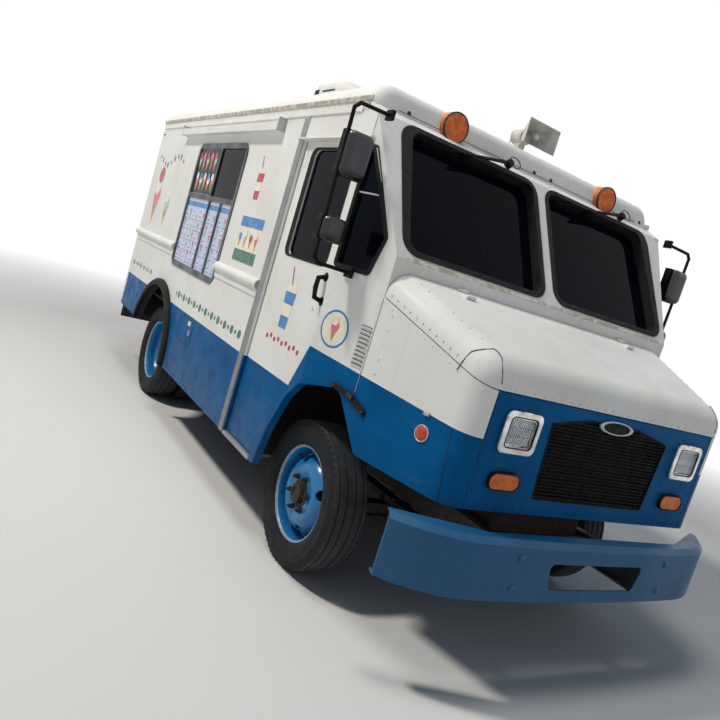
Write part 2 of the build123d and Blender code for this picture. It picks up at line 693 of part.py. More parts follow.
# Cab front: bulkhead, tapered quarter panels and the raked windscreen cap in one shell
QUARTER_S = 68.0
QUARTER_TOP_Z = 2262.0
QUARTER_BOTTOM_Z = 1650.0
QUARTER_FRONT_S = -220.0
QUARTER_LOW_S = -165.0
QUARTER_R = 17.0
CAP_TOP_Z = EAVE_Z + SHOULDER_RISE


def cab_prism(inset):
    """The cab front's plan, from the bulkhead to the header, as a tall prism."""
    x_front = taper_x(SEAM_S) - inset * sqrt(1 + TAPER**2)
    x_door = BODY_HALF - inset
    with BuildPart() as prism:
        with BuildSketch(plan_plane(0)):
            Polygon(
                (-x_front, SEAM_S), (x_front, SEAM_S), (x_door, DOOR_FRONT_S), (x_door, 600),
                (-x_door, 600), (-x_door, DOOR_FRONT_S),
                align=None,
            )
        extrude(amount=ROOF_TOP_Z)
    return prism.part


CAB_SIDE = [
    (SEAM_S, NOSE_BOTTOM_Z), (SEAM_S, FACE_BOTTOM_Z), (face_s(EAVE_Z), EAVE_Z), (HEADER_S, CAP_TOP_Z),
    (HEADER_S, DOOR_KNEE_Z), (DOOR_FRONT_S, DOOR_KNEE_Z), (DOOR_MID_S, DOOR_MID_Z),
    (DOOR_FOOT_S, SILL_Z), (SEAM_S, SILL_Z),
]


# The room inside: behind the bulkhead and under the raked cap
CAP_DEPTH = CAP_T / cos(RAKE)
CEILING_Z = EAVE_Z - WALL_T
with BuildPart() as cab_room:
    add(cab_prism(WALL_T))
    with BuildSketch(side_plane(-REACH)):
        Polygon(
            (BULKHEAD_S, -1), (BULKHEAD_S, FACE_BOTTOM_Z - (CAP_DEPTH - WALL_T) / tan(RAKE)),
            (face_s(CEILING_Z) + CAP_DEPTH, CEILING_Z), (700, CEILING_Z), (700, -1),
            align=None,
        )
    extrude(amount=2 * REACH, mode=Mode.INTERSECT)


def screen_outline(side, shrink):
    """One windscreen's outline on the screen plane, with rounded corners."""
    points = [
        (side * (SCREEN_INNER_X + shrink), shrink), (side * (SCREEN_OUTER_BOTTOM_X - shrink), shrink),
        (side * (SCREEN_OUTER_TOP_X - shrink), SCREEN_H - shrink),
        (side * (SCREEN_INNER_X + shrink), SCREEN_H - shrink),
    ]
    with BuildSketch() as outline:
        Polygon(*points, align=None)
        fillet(outline.vertices(), SCREEN_CORNER_R - shrink)
    return outline.sketch


def quarter_outline(shrink):
    """The quarter window's outline seen from the side."""
    front_top_s = face_s(QUARTER_TOP_Z) + PILLAR_W
    bend_z = QUARTER_TOP_Z - (front_top_s - QUARTER_FRONT_S) / tan(RAKE)
    points = [
        (QUARTER_S, QUARTER_BOTTOM_Z), (QUARTER_S, QUARTER_TOP_Z), (front_top_s, QUARTER_TOP_Z),
        (QUARTER_FRONT_S, bend_z), (QUARTER_LOW_S, QUARTER_BOTTOM_Z),
    ]
    with BuildSketch() as outline:
        Polygon(*points, align=None)
        fillet(outline.vertices(), QUARTER_R)
        if shrink:
            offset(amount=-shrink, mode=Mode.REPLACE)
    return outline.sketch


HOOD_HINGE_X = 646.0
HOOD_HINGE_S = SEAM_S - 18
HOOD_HINGE_Z = HOOD_REAR_Z
HINGE_R = 9.0
HINGE_PIN_R = 4.0
HINGE_HALF = 20.0
EAR_T = 8.0
with BuildPart() as cab_front:
    add(cab_prism(0))
    with BuildSketch(side_plane(-REACH)):
        Polygon(*CAB_SIDE, align=None)
    extrude(amount=2 * REACH, mode=Mode.INTERSECT)
    add(cab_room.part, mode=Mode.SUBTRACT)
    add(front_arch.part, mode=Mode.SUBTRACT)
    for side, _ in SIDES:
        box(
            side * INNER_HALF, side * REACH, DOOR_FRONT_S, 2 * HEADER_S, DOOR_KNEE_Z, EAVE_Z,
            mode=Mode.SUBTRACT,
        )
        box(
            side * (DOOR_IN_X + MOVE_GAP), side * REACH, DOOR_FRONT_S, 2 * HEADER_S, DOOR_KNEE_Z, TRACK_Z,
            mode=Mode.SUBTRACT,
        )
    box(-WELL_X, WELL_X, SEAM_S - 1, BULKHEAD_S + 1, 0, FLOOR_Z - FLOOR_T, mode=Mode.SUBTRACT)
    box(
        ENGINE[0] - 10, ENGINE[1] + 10, SEAM_S - 1, BULKHEAD_S + 1, 0, ENGINE[5] + 10,
        mode=Mode.SUBTRACT,
    )
    for side, _ in SIDES:
        with BuildSketch(screen_plane(-CAP_T)):
            add(screen_outline(side, 0))
        extrude(amount=3 * CAP_T, mode=Mode.SUBTRACT)
    with BuildSketch(side_plane(-REACH)):
        add(quarter_outline(0))
    extrude(amount=2 * REACH, mode=Mode.SUBTRACT)
    for side, _ in SIDES:
        for end in (-HINGE_HALF - EAR_T - 1, HINGE_HALF + 1):
            x = side * HOOD_HINGE_X + end
            box(x, x + EAR_T, HOOD_HINGE_S, SEAM_S, HOOD_HINGE_Z - HINGE_R, HOOD_HINGE_Z + HINGE_R)
            with Locations(Location((x + EAR_T / 2, y_at(HOOD_HINGE_S), HOOD_HINGE_Z), (0, 90, 0))):
                Cylinder(HINGE_R, EAR_T)
        with BuildSketch(Plane.YZ.offset(side * HOOD_HINGE_X - HINGE_HALF - 2)):
            with Locations((y_at(HOOD_HINGE_S), HOOD_HINGE_Z)):
                Circle(HINGE_PIN_R)
        extrude(amount=2 * HINGE_HALF + 4)
finish(cab_front, "cab_front")

# Cab glass: two windscreens and the two quarter windows
with BuildPart() as cab_glass:
    for side, _ in SIDES:
        with BuildSketch(screen_plane(0)):
            add(screen_outline(side, SEAT_GAP))
        extrude(amount=-GLASS_T)
    for side, _ in SIDES:
        normal = Vector(side, -TAPER, 0).normalized()
        mid = Vector(side * (taper_x(0) - WALL_T / 2), y_at(0), 0)
        with BuildPart(mode=Mode.PRIVATE) as pane:
            with BuildSketch(side_plane(0)):
                add(quarter_outline(SEAT_GAP))
            extrude(amount=side * BODY_HALF)
            half_t = normal * (GLASS_T / 2)
            split(bisect_by=Plane(origin=mid + half_t, z_dir=normal), keep=Keep.BOTTOM)
            split(bisect_by=Plane(origin=mid - half_t, z_dir=normal), keep=Keep.TOP)
        add(pane.part)
finish(cab_glass, "cab_glass")

# Nose shell: tapered, with rolled corners, below the hood's seam
GRILLE_TOP = ((-440, 1247), (-180, 1296), (180, 1296), (440, 1247))
GRILLE_BOTTOM = ((410, 873), (-410, 873))
LAMP_X = 632.0
LAMP_Z = 1175.0
LAMP_W = 200.0
LAMP_H = 142.0
BEZEL_RIM = 26.0
SIGNAL_Z = 943.0
SEAM_GAP = 6.0


def seam_cut(rise):
    """Side outline of everything above the hood seam, moved up by rise."""
    Polygon(
        (SEAM_S + 1, hood_seam(SEAM_S + 1) + rise), (2 * NOSE_S, hood_seam(2 * NOSE_S) + rise),
        (2 * NOSE_S, 2 * HOOD_REAR_Z), (SEAM_S + 1, 2 * HOOD_REAR_Z),
        align=None,
    )


nose_solid = nose_block(0)
nose_room = nose_block(NOSE_WALL_T)
with BuildPart() as nose_shell:
    add(nose_solid)
    add(nose_room, mode=Mode.SUBTRACT)
    add(front_arch.part, mode=Mode.SUBTRACT)
    with BuildSketch(side_plane(-REACH)):
        seam_cut(-SEAM_GAP / 2)
    extrude(amount=2 * REACH, mode=Mode.SUBTRACT)
    with BuildSketch(cross_plane(NOSE_S + NOSE_WALL_T + 1)):
        Polygon(*GRILLE_TOP, *GRILLE_BOTTOM, align=None)
        with Locations((-LAMP_X, LAMP_Z), (LAMP_X, LAMP_Z)):
            Rectangle(LAMP_W, LAMP_H)
    extrude(amount=NOSE_WALL_T + 2, mode=Mode.SUBTRACT)
finish(nose_shell, "nose_shell")

# Hood: clamshell lid with rolled sides, rolled front and ball corners, hinged at the cowl
HOOD_REAR_S = SEAM_S - MOVE_GAP
with BuildPart() as hood_lid:
    add(nose_solid)
    add(nose_room, mode=Mode.SUBTRACT)
    with BuildSketch(side_plane(-REACH)):
        seam_cut(SEAM_GAP / 2)
    extrude(amount=2 * REACH, mode=Mode.INTERSECT)
    box(-BODY_HALF, BODY_HALF, HOOD_REAR_S, 0, 0, 2 * HOOD_REAR_Z, mode=Mode.SUBTRACT)
    for side, _ in SIDES:
        x = side * HOOD_HINGE_X
        notch = HINGE_HALF + EAR_T + 4
        box(
            x - notch, x + notch, HOOD_HINGE_S - HINGE_R - 4, 0, HOOD_HINGE_Z - HINGE_R - 4,
            2 * HOOD_HINGE_Z, mode=Mode.SUBTRACT,
        )
        with BuildSketch(Plane.YZ.offset(x - HINGE_HALF)):
            with Locations((y_at(HOOD_HINGE_S), HOOD_HINGE_Z)):
                Circle(HINGE_R)
        extrude(amount=2 * HINGE_HALF)
        box(
            x - HINGE_HALF, x + HINGE_HALF, HOOD_HINGE_S - HINGE_R, HOOD_HINGE_S,
            HOOD_HINGE_Z - HINGE_R - 8, HOOD_HINGE_Z,
        )
        with BuildSketch(Plane.YZ.offset(x - HINGE_HALF)):
            with Locations((y_at(HOOD_HINGE_S), HOOD_HINGE_Z)):
                Circle(HINGE_PIN_R + RUNNING_FIT)
        extrude(amount=2 * HINGE_HALF, mode=Mode.SUBTRACT)
finish(hood_lid, "hood_lid")

# Grille: level slats carried by upright ribs, set in the nose's opening
SLATS = 13
RIBS = 7
SLAT_H = 7.0
with BuildPart() as grille:
    with BuildSketch(cross_plane(NOSE_S + NOSE_WALL_T)) as mesh_outline:
        Polygon(*GRILLE_TOP, *GRILLE_BOTTOM, align=None)
        offset(amount=-SEAT_GAP)
    extrude(amount=NOSE_WALL_T - 4)
    with BuildSketch(cross_plane(NOSE_S + NOSE_WALL_T)) as mesh_gap:
        Polygon(*GRILLE_TOP, *GRILLE_BOTTOM, align=None)
        offset(amount=-14, kind=Kind.INTERSECTION)
    extrude(amount=NOSE_WALL_T, mode=Mode.SUBTRACT)
    with BuildPart(mode=Mode.PRIVATE) as bars:
        pitch = (GRILLE_TOP[1][1] - GRILLE_BOTTOM[0][1]) / SLATS
        for i in range(1, SLATS):
            z = GRILLE_BOTTOM[0][1] + i * pitch
            box(-500, 500, NOSE_S + 6, NOSE_S + 12, z - SLAT_H / 2, z + SLAT_H / 2)
        for i in range(RIBS):
            x = (i - (RIBS - 1) / 2) * 2 * GRILLE_TOP[3][0] / RIBS
            box(x - 3, x + 3, NOSE_S + 12, NOSE_S + 20, 800, 1400)
        with BuildSketch(cross_plane(NOSE_S + NOSE_WALL_T)):
            Polygon(*GRILLE_TOP, *GRILLE_BOTTOM, align=None)
            offset(amount=-10, kind=Kind.INTERSECTION)
        extrude(amount=NOSE_WALL_T, mode=Mode.INTERSECT)
    add(bars.part)
finish(grille, "grille")

# Headlamps: bucket in the nose, rounded bezel in front, recessed face for the lens
with BuildPart() as headlamps:
    for side, _ in SIDES:
        with BuildSketch(cross_plane(NOSE_S + NOSE_WALL_T)):
            with Locations((side * LAMP_X, LAMP_Z)):
                Rectangle(LAMP_W - 2 * SEAT_GAP, LAMP_H - 2 * SEAT_GAP)
        extrude(amount=NOSE_WALL_T)
        with BuildSketch(cross_plane(NOSE_S)):
            with Locations((side * LAMP_X, LAMP_Z)):
                RectangleRounded(LAMP_W + BEZEL_RIM, LAMP_H + 2 * BEZEL_RIM, 34)
        extrude(amount=20)
        with BuildSketch(cross_plane(NOSE_S - 20)):
            with Locations((side * LAMP_X, LAMP_Z)):
                RectangleRounded(LAMP_W - 46, LAMP_H - 14, 22)
        extrude(amount=-26, mode=Mode.SUBTRACT)
finish(headlamps, "headlamps")

# Roof: crowned edges, rolled header and open underside
ROOF_REAR_S = REAR_FRAME_S


def roof_block(inset):
    half = BODY_HALF - inset
    top = ROOF_TOP_Z - inset
    radius = ROOF_EDGE_R - inset
    with BuildPart() as block:
        with BuildSketch(cross_plane(ROOF_REAR_S)):
            with BuildLine():
                Polyline((half, top - radius), (half, EAVE_Z), (-half, EAVE_Z), (-half, top - radius))
                RadiusArc((-half, top - radius), (radius - half, top), radius)
                Line((radius - half, top), (half - radius, top))
                RadiusArc((half - radius, top), (half, top - radius), radius)
            make_face()
        extrude(amount=ROOF_REAR_S - HEADER_S - inset)
        front = block.faces().filter_by(Axis.Y).sort_by(Axis.Y)[0]
        rim = [e for e in front.edges() if e.center().Z > EAVE_Z + 1]
        fillet(rim, radius=HEADER_R - inset)
    return block.part


roof_solid = roof_block(0)
with BuildPart() as roof_shell:
    add(roof_solid)
    add(roof_block(ROOF_T), mode=Mode.SUBTRACT)
    box(-BODY_HALF - 9, BODY_HALF + 9, HEADER_S + 60, ROOF_REAR_S, EAVE_Z, EAVE_Z + 22)
    box(-INNER_HALF, INNER_HALF, HEADER_S + WALL_T, ROOF_REAR_S, EAVE_Z, EAVE_Z + 22, mode=Mode.SUBTRACT)
finish(roof_shell, "roof_shell")

# Amber lamps: two long turn signals on the nose and two round flashers on the header
FLASHER_X = 655.0
FLASHER_Z = 2555.0
FLASHER_R = 85.0
with BuildPart() as amber_lamps:
    for side, _ in SIDES:
        with BuildSketch(cross_plane(NOSE_S)):
            with Locations((side * LAMP_X, SIGNAL_Z)):
                SlotOverall(190, 86)
        extrude(amount=18)
        with BuildSketch(cross_plane(HEADER_S + HEADER_R)):
            with Locations((side * FLASHER_X, FLASHER_Z)):
                Circle(FLASHER_R)
        extrude(amount=HEADER_R + 38)
    add(roof_solid, mode=Mode.SUBTRACT)
    add(cab_front.part, mode=Mode.SUBTRACT)
finish(amber_lamps, "amber_lamps")

# Rear frame: a flat ring that closes the body behind and carries the two doors
HINGE_BARREL_R = 12.0
REAR_PIN_R = 6.0
REAR_HINGE_H = 60.0
with BuildPart() as rear_frame:
    with BuildSketch(cross_plane(BODY_REAR_S)):
        with BuildLine():
            Polyline(
                (BODY_HALF, ROOF_TOP_Z - ROOF_EDGE_R), (BODY_HALF, REAR_SKIRT_Z),
                (-BODY_HALF, REAR_SKIRT_Z), (-BODY_HALF, ROOF_TOP_Z - ROOF_EDGE_R),
            )
            RadiusArc(
                (-BODY_HALF, ROOF_TOP_Z - ROOF_EDGE_R), (ROOF_EDGE_R - BODY_HALF, ROOF_TOP_Z), ROOF_EDGE_R,
            )
            Line((ROOF_EDGE_R - BODY_HALF, ROOF_TOP_Z), (BODY_HALF - ROOF_EDGE_R, ROOF_TOP_Z))
            RadiusArc(
                (BODY_HALF - ROOF_EDGE_R, ROOF_TOP_Z), (BODY_HALF, ROOF_TOP_Z - ROOF_EDGE_R), ROOF_EDGE_R,
            )
        make_face()
        with Locations((0, (FLOOR_Z + REAR_OPENING_TOP_Z) / 2)):
            Rectangle(2 * REAR_OPENING_HALF, REAR_OPENING_TOP_Z - FLOOR_Z, mode=Mode.SUBTRACT)
    extrude(amount=WALL_T)
    for side, _ in SIDES:
        for z in REAR_HINGE_Z:
            for low in (z - REAR_HINGE_H / 2 - 10, z + REAR_HINGE_H / 2 + 1):
                box(
                    side * (REAR_HINGE_X - HINGE_BARREL_R), side * (REAR_HINGE_X + HINGE_BARREL_R),
                    BODY_REAR_S, BODY_REAR_S + REAR_HINGE_OUT + HINGE_BARREL_R, low, low + 9,
                )
            with Locations((side * REAR_HINGE_X, y_at(BODY_REAR_S + REAR_HINGE_OUT), z)):
                Cylinder(REAR_PIN_R, REAR_HINGE_H + 6)
finish(rear_frame, "rear_frame")

# Rear doors: two leaves that fill the opening, each with a window and three strap hinges
REAR_WINDOW_W = 560.0
REAR_WINDOW_H = 520.0
REAR_WINDOW_Z = 1880.0
LEAF_W = REAR_OPENING_HALF - 1.5 * MOVE_GAP
LEAF_Z0 = FLOOR_Z + MOVE_GAP
LEAF_Z1 = REAR_OPENING_TOP_Z - MOVE_GAP
LEAF_MID_X = (MOVE_GAP / 2 + REAR_OPENING_HALF - MOVE_GAP) / 2
for side, name in ((DRIVER, "left"), (KERB, "right")):
    with BuildPart() as rear_door:
        with BuildSketch(cross_plane(BODY_REAR_S)):
            with Locations((side * LEAF_MID_X, (LEAF_Z0 + LEAF_Z1) / 2)):
                Rectangle(LEAF_W, LEAF_Z1 - LEAF_Z0)
            with Locations((side * LEAF_MID_X, REAR_WINDOW_Z)):
                RectangleRounded(REAR_WINDOW_W, REAR_WINDOW_H, 50, mode=Mode.SUBTRACT)
        extrude(amount=REAR_DOOR_T)
        for z in REAR_HINGE_Z:
            low, high = z - REAR_HINGE_H / 2, z + REAR_HINGE_H / 2
            box(
                side * (LEAF_MID_X + LEAF_W / 2 - 150), side * REAR_HINGE_X,
                BODY_REAR_S + MOVE_GAP, BODY_REAR_S + MOVE_GAP + 8, low, high,
            )
            box(
                side * (LEAF_MID_X + LEAF_W / 2 - 150), side * (LEAF_MID_X + LEAF_W / 2 - 20),
                BODY_REAR_S, BODY_REAR_S + MOVE_GAP, low, high,
            )
            with Locations((side * REAR_HINGE_X, y_at(BODY_REAR_S + REAR_HINGE_OUT), z)):
                Cylinder(HINGE_BARREL_R, REAR_HINGE_H)
                Cylinder(REAR_PIN_R + RUNNING_FIT, REAR_HINGE_H, mode=Mode.SUBTRACT)
    finish(rear_door, "rear_door_" + name)
    with BuildPart() as rear_glass:
        with BuildSketch(cross_plane(BODY_REAR_S - REAR_DOOR_T / 2)):
            with Locations((side * LEAF_MID_X, REAR_WINDOW_Z)):
                RectangleRounded(
                    REAR_WINDOW_W - 2 * SEAT_GAP, REAR_WINDOW_H - 2 * SEAT_GAP, 50 - SEAT_GAP,
                )
        extrude(amount=GLASS_T)
    finish(rear_glass, "rear_glass_" + name)

# Rear bumper: a step channel between the body and the full length, with plate holes
REAR_BUMPER_Z0 = 430.0
REAR_BUMPER_Z1 = 588.0
REAR_BUMPER_HALF = REAR_OPENING_HALF
PLATE_HOLE_SPACING = 177.8
PLATE_HOLE_R = 3.5
with BuildPart() as rear_bumper:
    box(-REAR_BUMPER_HALF, REAR_BUMPER_HALF, REAR_FRAME_S, REAR_END_S, REAR_BUMPER_Z0, REAR_BUMPER_Z1)
    box(
        -REAR_BUMPER_HALF - 1, REAR_BUMPER_HALF + 1, REAR_FRAME_S - 1, REAR_END_S - BUMPER_T,
        REAR_BUMPER_Z0 - 1, REAR_BUMPER_Z1 - BUMPER_T, mode=Mode.SUBTRACT,
    )
    for side, _ in SIDES:
        box(
            side * (RAIL_X - RAIL_W / 2), side * (RAIL_X + RAIL_W / 2), REAR_FRAME_S, REAR_END_S - BUMPER_T,
            RAIL_Z0, REAR_BUMPER_Z1 - BUMPER_T,
        )
    with BuildSketch(cross_plane(REAR_END_S)):
        with GridLocations(PLATE_HOLE_SPACING, 0, 2, 1):
            with Locations((0, (REAR_BUMPER_Z0 + REAR_BUMPER_Z1) / 2)):
                Circle(PLATE_HOLE_R)
    extrude(amount=BUMPER_T + 1, mode=Mode.SUBTRACT)
finish(rear_bumper, "rear_bumper")

# Tail lamps: round, on the rear bumper's ends
TAIL_LAMP_R = 54.0
TAIL_LAMPS_X = (920.0, 1050.0)
with BuildPart() as tail_lamps:
    for side, _ in SIDES:
        for x in TAIL_LAMPS_X:
            with BuildSketch(cross_plane(REAR_END_S - BUMPER_T)):
                with Locations((side * x, (REAR_BUMPER_Z0 + REAR_BUMPER_Z1) / 2)):
                    Circle(TAIL_LAMP_R)
            extrude(amount=16)
finish(tail_lamps, "tail_lamps")

# Front bumper: pressed channel, nearly straight in the middle, swept back at both ends
BUMPER_BOLT_X = 1070.0
BUMPER_BOLT_Z = 582.5
BUMPER_BOLT_PITCH_Z = 145.0
BUMPER_BOLT_R = 7.0
SLOT_Z0 = 510.0
SLOT_Z1 = 640.0
BUMPER_TURN_X = 720.0
BUMPER_TURN_S = BUMPER_S + 22
BUMPER_ROLL_R = 26.0


def bumper_bar(inset, z0, z1, depth):
    """Bar along the bumper's sweep, its outer face moved in by inset."""
    tip_x = BUMPER_END_X - inset * 0.5
    tip_s = BUMPER_END_S + inset
    with BuildPart() as bar:
        with BuildSketch(plan_plane(z0)):
            with BuildLine():
                turn = BUMPER_TURN_S + inset
                nose = ThreePointArc((-BUMPER_TURN_X, turn), (0, BUMPER_S + inset), (BUMPER_TURN_X, turn))
                right = TangentArc(nose @ 1, (tip_x, tip_s), tangent=nose % 1)
                left = TangentArc(nose @ 0, (-tip_x, tip_s), tangent=-(nose % 0))
                Polyline(
                    right @ 1, (tip_x - 18, tip_s + depth * 0.7), (BUMPER_TURN_X - 30, turn + depth),
                    (30 - BUMPER_TURN_X, turn + depth), (18 - tip_x, tip_s + depth * 0.7), left @ 1,
                )
            make_face()
        extrude(amount=z1 - z0)
        top_face = bar.faces().sort_by(Axis.Z)[-1]
        outer_rim = [e for e in top_face.edges() if e.geom_type != GeomType.LINE]
        chamfer(outer_rim, length=BUMPER_ROLL_R - inset)
    return bar.part


with BuildPart() as front_bumper:
    add(bumper_bar(0, BUMPER_BOTTOM_Z, BUMPER_TOP_Z, BUMPER_FLANGE))
    add(
        bumper_bar(BUMPER_T, BUMPER_BOTTOM_Z + BUMPER_T, BUMPER_TOP_Z - BUMPER_T, 3 * BUMPER_FLANGE),
        mode=Mode.SUBTRACT,
    )
    with BuildSketch(cross_plane(BUMPER_S - 10)):
        window = Polygon(
            (-345, SLOT_Z1), (345, SLOT_Z1), (310, SLOT_Z0), (-310, SLOT_Z0), align=None,
        )
        fillet(window.vertices(), 28)
        with Locations((0, BUMPER_BOLT_Z)):
            with GridLocations(BUMPER_BOLT_X, BUMPER_BOLT_PITCH_Z, 2, 2):
                Circle(BUMPER_BOLT_R)
    extrude(amount=-120, mode=Mode.SUBTRACT)
finish(front_bumper, "front_bumper")

# Rubber flares round the rear arches
FLARE_FOOT = degrees(atan((REAR_SKIRT_Z - REAR_ARCH_Z) / REAR_ARCH_R))
with BuildPart() as wheel_flares:
    for side, _ in SIDES:
        centre = (side * BODY_HALF, y_at(REAR_ARCH_S), REAR_ARCH_Z)
        start = Plane(
            origin=centre, x_dir=(0, cos(radians(FLARE_FOOT)), sin(radians(FLARE_FOOT))),
            z_dir=(0, sin(radians(FLARE_FOOT)), -cos(radians(FLARE_FOOT))),
        )
        with BuildSketch(start):
            out = start.y_dir.X * side
            Polygon(
                (REAR_ARCH_R, 0), (REAR_ARCH_R, out * FLARE_D), (REAR_ARCH_R + FLARE_W - FLARE_EASE, out * FLARE_D),
                (REAR_ARCH_R + FLARE_W, out * (FLARE_D - FLARE_EASE)), (REAR_ARCH_R + FLARE_W, 0), align=None,
            )
        revolve(axis=Axis(centre, (1, 0, 0)), revolution_arc=182 - FLARE_FOOT)
finish(wheel_flares, "wheel_flares")

# Serving window: aluminium frame with a middle rail and mullions, panes and menu panels
SERVE_MID_S = (SERVE_S0 + SERVE_S1) / 2
SERVE_UPPER_MULLION_S = 2376.0
SERVE_LOWER_MULLIONS = (2080.0, 2358.0)
SERVE_CORNER_R = 95.0
MULLION_HALF = 14.0
with BuildPart() as serving_window_frame:
    with BuildSketch(side_plane(-BODY_HALF - SERVE_PROUD)) as frame_face:
        with Locations((SERVE_MID_S, (SERVE_Z0 + SERVE_Z1) / 2)):
            body = Rectangle(SERVE_S1 - SERVE_S0, SERVE_Z1 - SERVE_Z0)
        fillet(frame_face.vertices().group_by(Axis.Z)[0], SERVE_CORNER_R)
    extrude(amount=SERVE_PROUD)
    with BuildSketch(side_plane(-BODY_HALF)):
        with Locations((SERVE_MID_S, (SERVE_Z0 + SERVE_Z1) / 2)):
            Rectangle(
                SERVE_S1 - SERVE_S0 - 2 * (SERVE_BAR + SEAT_GAP),
                SERVE_Z1 - SERVE_Z0 - 2 * (SERVE_BAR + SEAT_GAP),
            )
    extrude(amount=WALL_T)
    room_z0 = SERVE_Z0 + SERVE_BAR + 12
    room_z1 = SERVE_Z1 - SERVE_BAR - 8
    room_s0 = SERVE_S0 + SERVE_BAR + 8
    room_s1 = SERVE_S1 - SERVE_BAR - 8
    PANES = (
        (room_s0, SERVE_UPPER_MULLION_S - MULLION_HALF, SERVE_RAIL_Z + 20, room_z1),
        (SERVE_UPPER_MULLION_S + MULLION_HALF, room_s1, SERVE_RAIL_Z + 20, room_z1),
        (room_s0, SERVE_LOWER_MULLIONS[0] - MULLION_HALF, room_z0, SERVE_RAIL_Z - 20),
        (SERVE_LOWER_MULLIONS[0] + MULLION_HALF, SERVE_LOWER_MULLIONS[1] - MULLION_HALF,
         room_z0, SERVE_RAIL_Z - 20),
        (SERVE_LOWER_MULLIONS[1] + MULLION_HALF, room_s1, room_z0, SERVE_RAIL_Z - 20),
    )
    for s0, s1, z0, z1 in PANES:
        box(-BODY_HALF - 20, -INNER_HALF + 20, s0, s1, z0, z1, mode=Mode.SUBTRACT)
finish(serving_window_frame, "serving_window_frame")

with BuildPart() as serving_glass:
    for s0, s1, z0, z1 in PANES[:1]:
        box(
            -BODY_HALF + 4, -BODY_HALF + 10, s0 + SEAT_GAP, s1 - SEAT_GAP, z0 + SEAT_GAP, z1 - SEAT_GAP,
        )
finish(serving_glass, "serving_glass")

with BuildPart() as menu_panels:
    for s0, s1, z0, z1 in PANES[1:]:
        box(
            -BODY_HALF + 2, -BODY_HALF + 8, s0 + SEAT_GAP, s1 - SEAT_GAP, z0 + SEAT_GAP, z1 - SEAT_GAP,
        )
finish(menu_panels, "menu_panels")

# Serving counter: a shelf inside, below the window's sill, on two brackets
COUNTER_Z = 1180.0
with BuildPart() as serving_counter:
    box(-INNER_HALF, -INNER_HALF + 420, SERVE_S0 - 20, SERVE_S1 + 60, COUNTER_Z - 30, COUNTER_Z)
    for s in (SERVE_S0 + 80, SERVE_S1 - 120):
        with BuildSketch(cross_plane(s)):
            Polygon(
                (-INNER_HALF, COUNTER_Z - 30), (-INNER_HALF + 330, COUNTER_Z - 30),
                (-INNER_HALF, COUNTER_Z - 270), align=None,
            )
        extrude(amount=-30)
finish(serving_counter, "serving_counter")

# Awning box above the serving window
AWNING_S0 = 1240.0
AWNING_S1 = 3486.0
AWNING_Z0 = 2358.0
AWNING_Z1 = 2440.0
AWNING_OUT = 58.0
with BuildPart() as awning_box:
    with BuildSketch(cross_plane(AWNING_S0)):
        Polygon(
            (-BODY_HALF, AWNING_Z1), (-BODY_HALF - AWNING_OUT, AWNING_Z1 - 26),
            (-BODY_HALF - AWNING_OUT, AWNING_Z0), (-BODY_HALF, AWNING_Z0),
            align=None,
        )
    extrude(amount=-(AWNING_S1 - AWNING_S0))
finish(awning_box, "awning_box")

# Side mouldings: half-round rub rail on a flat base, and the grey rail behind each cab door
MOULD_Z0 = 1302.0
MOULD_Z1 = 1416.0
MOULD_ROUND_Z = 1345.0
MOULD_OUT = 34.0
RAIL_STRIP_S1 = 947.0
RAIL_STRIP_OUT = 9.0


def moulding(side, s0, s1):
    x = side * BODY_HALF
    with BuildPart() as strip:
        with BuildSketch(cross_plane(s0)):
            with BuildLine():
                Polyline(
                    (x, MOULD_Z1), (x, MOULD_Z0), (x + side * 8, MOULD_Z0),
                    (x + side * 8, MOULD_ROUND_Z),
                )
                ThreePointArc(
                    (x + side * 8, MOULD_ROUND_Z),
                    (x + side * MOULD_OUT, (MOULD_ROUND_Z + MOULD_Z1) / 2),
                    (x + side * 8, MOULD_Z1 - 3),
                )
                Polyline((x + side * 8, MOULD_Z1 - 3), (x + side * 8, MOULD_Z1), (x, MOULD_Z1))
            make_face()
        extrude(amount=-(s1 - s0))
    return strip.part


with BuildPart() as side_mouldings:
    for side, _ in SIDES:
        box(
            side * BODY_HALF, side * (BODY_HALF + RAIL_STRIP_OUT), DOOR_REAR_S + 4, RAIL_STRIP_S1,
            SILL_Z, EAVE_Z,
        )
    add(moulding(KERB, RAIL_STRIP_S1, SERVE_S0))
    add(moulding(KERB, SERVE_S1, BODY_REAR_S - 22))
    add(moulding(DRIVER, RAIL_STRIP_S1, BODY_REAR_S - 22))
finish(side_mouldings, "side_mouldings")

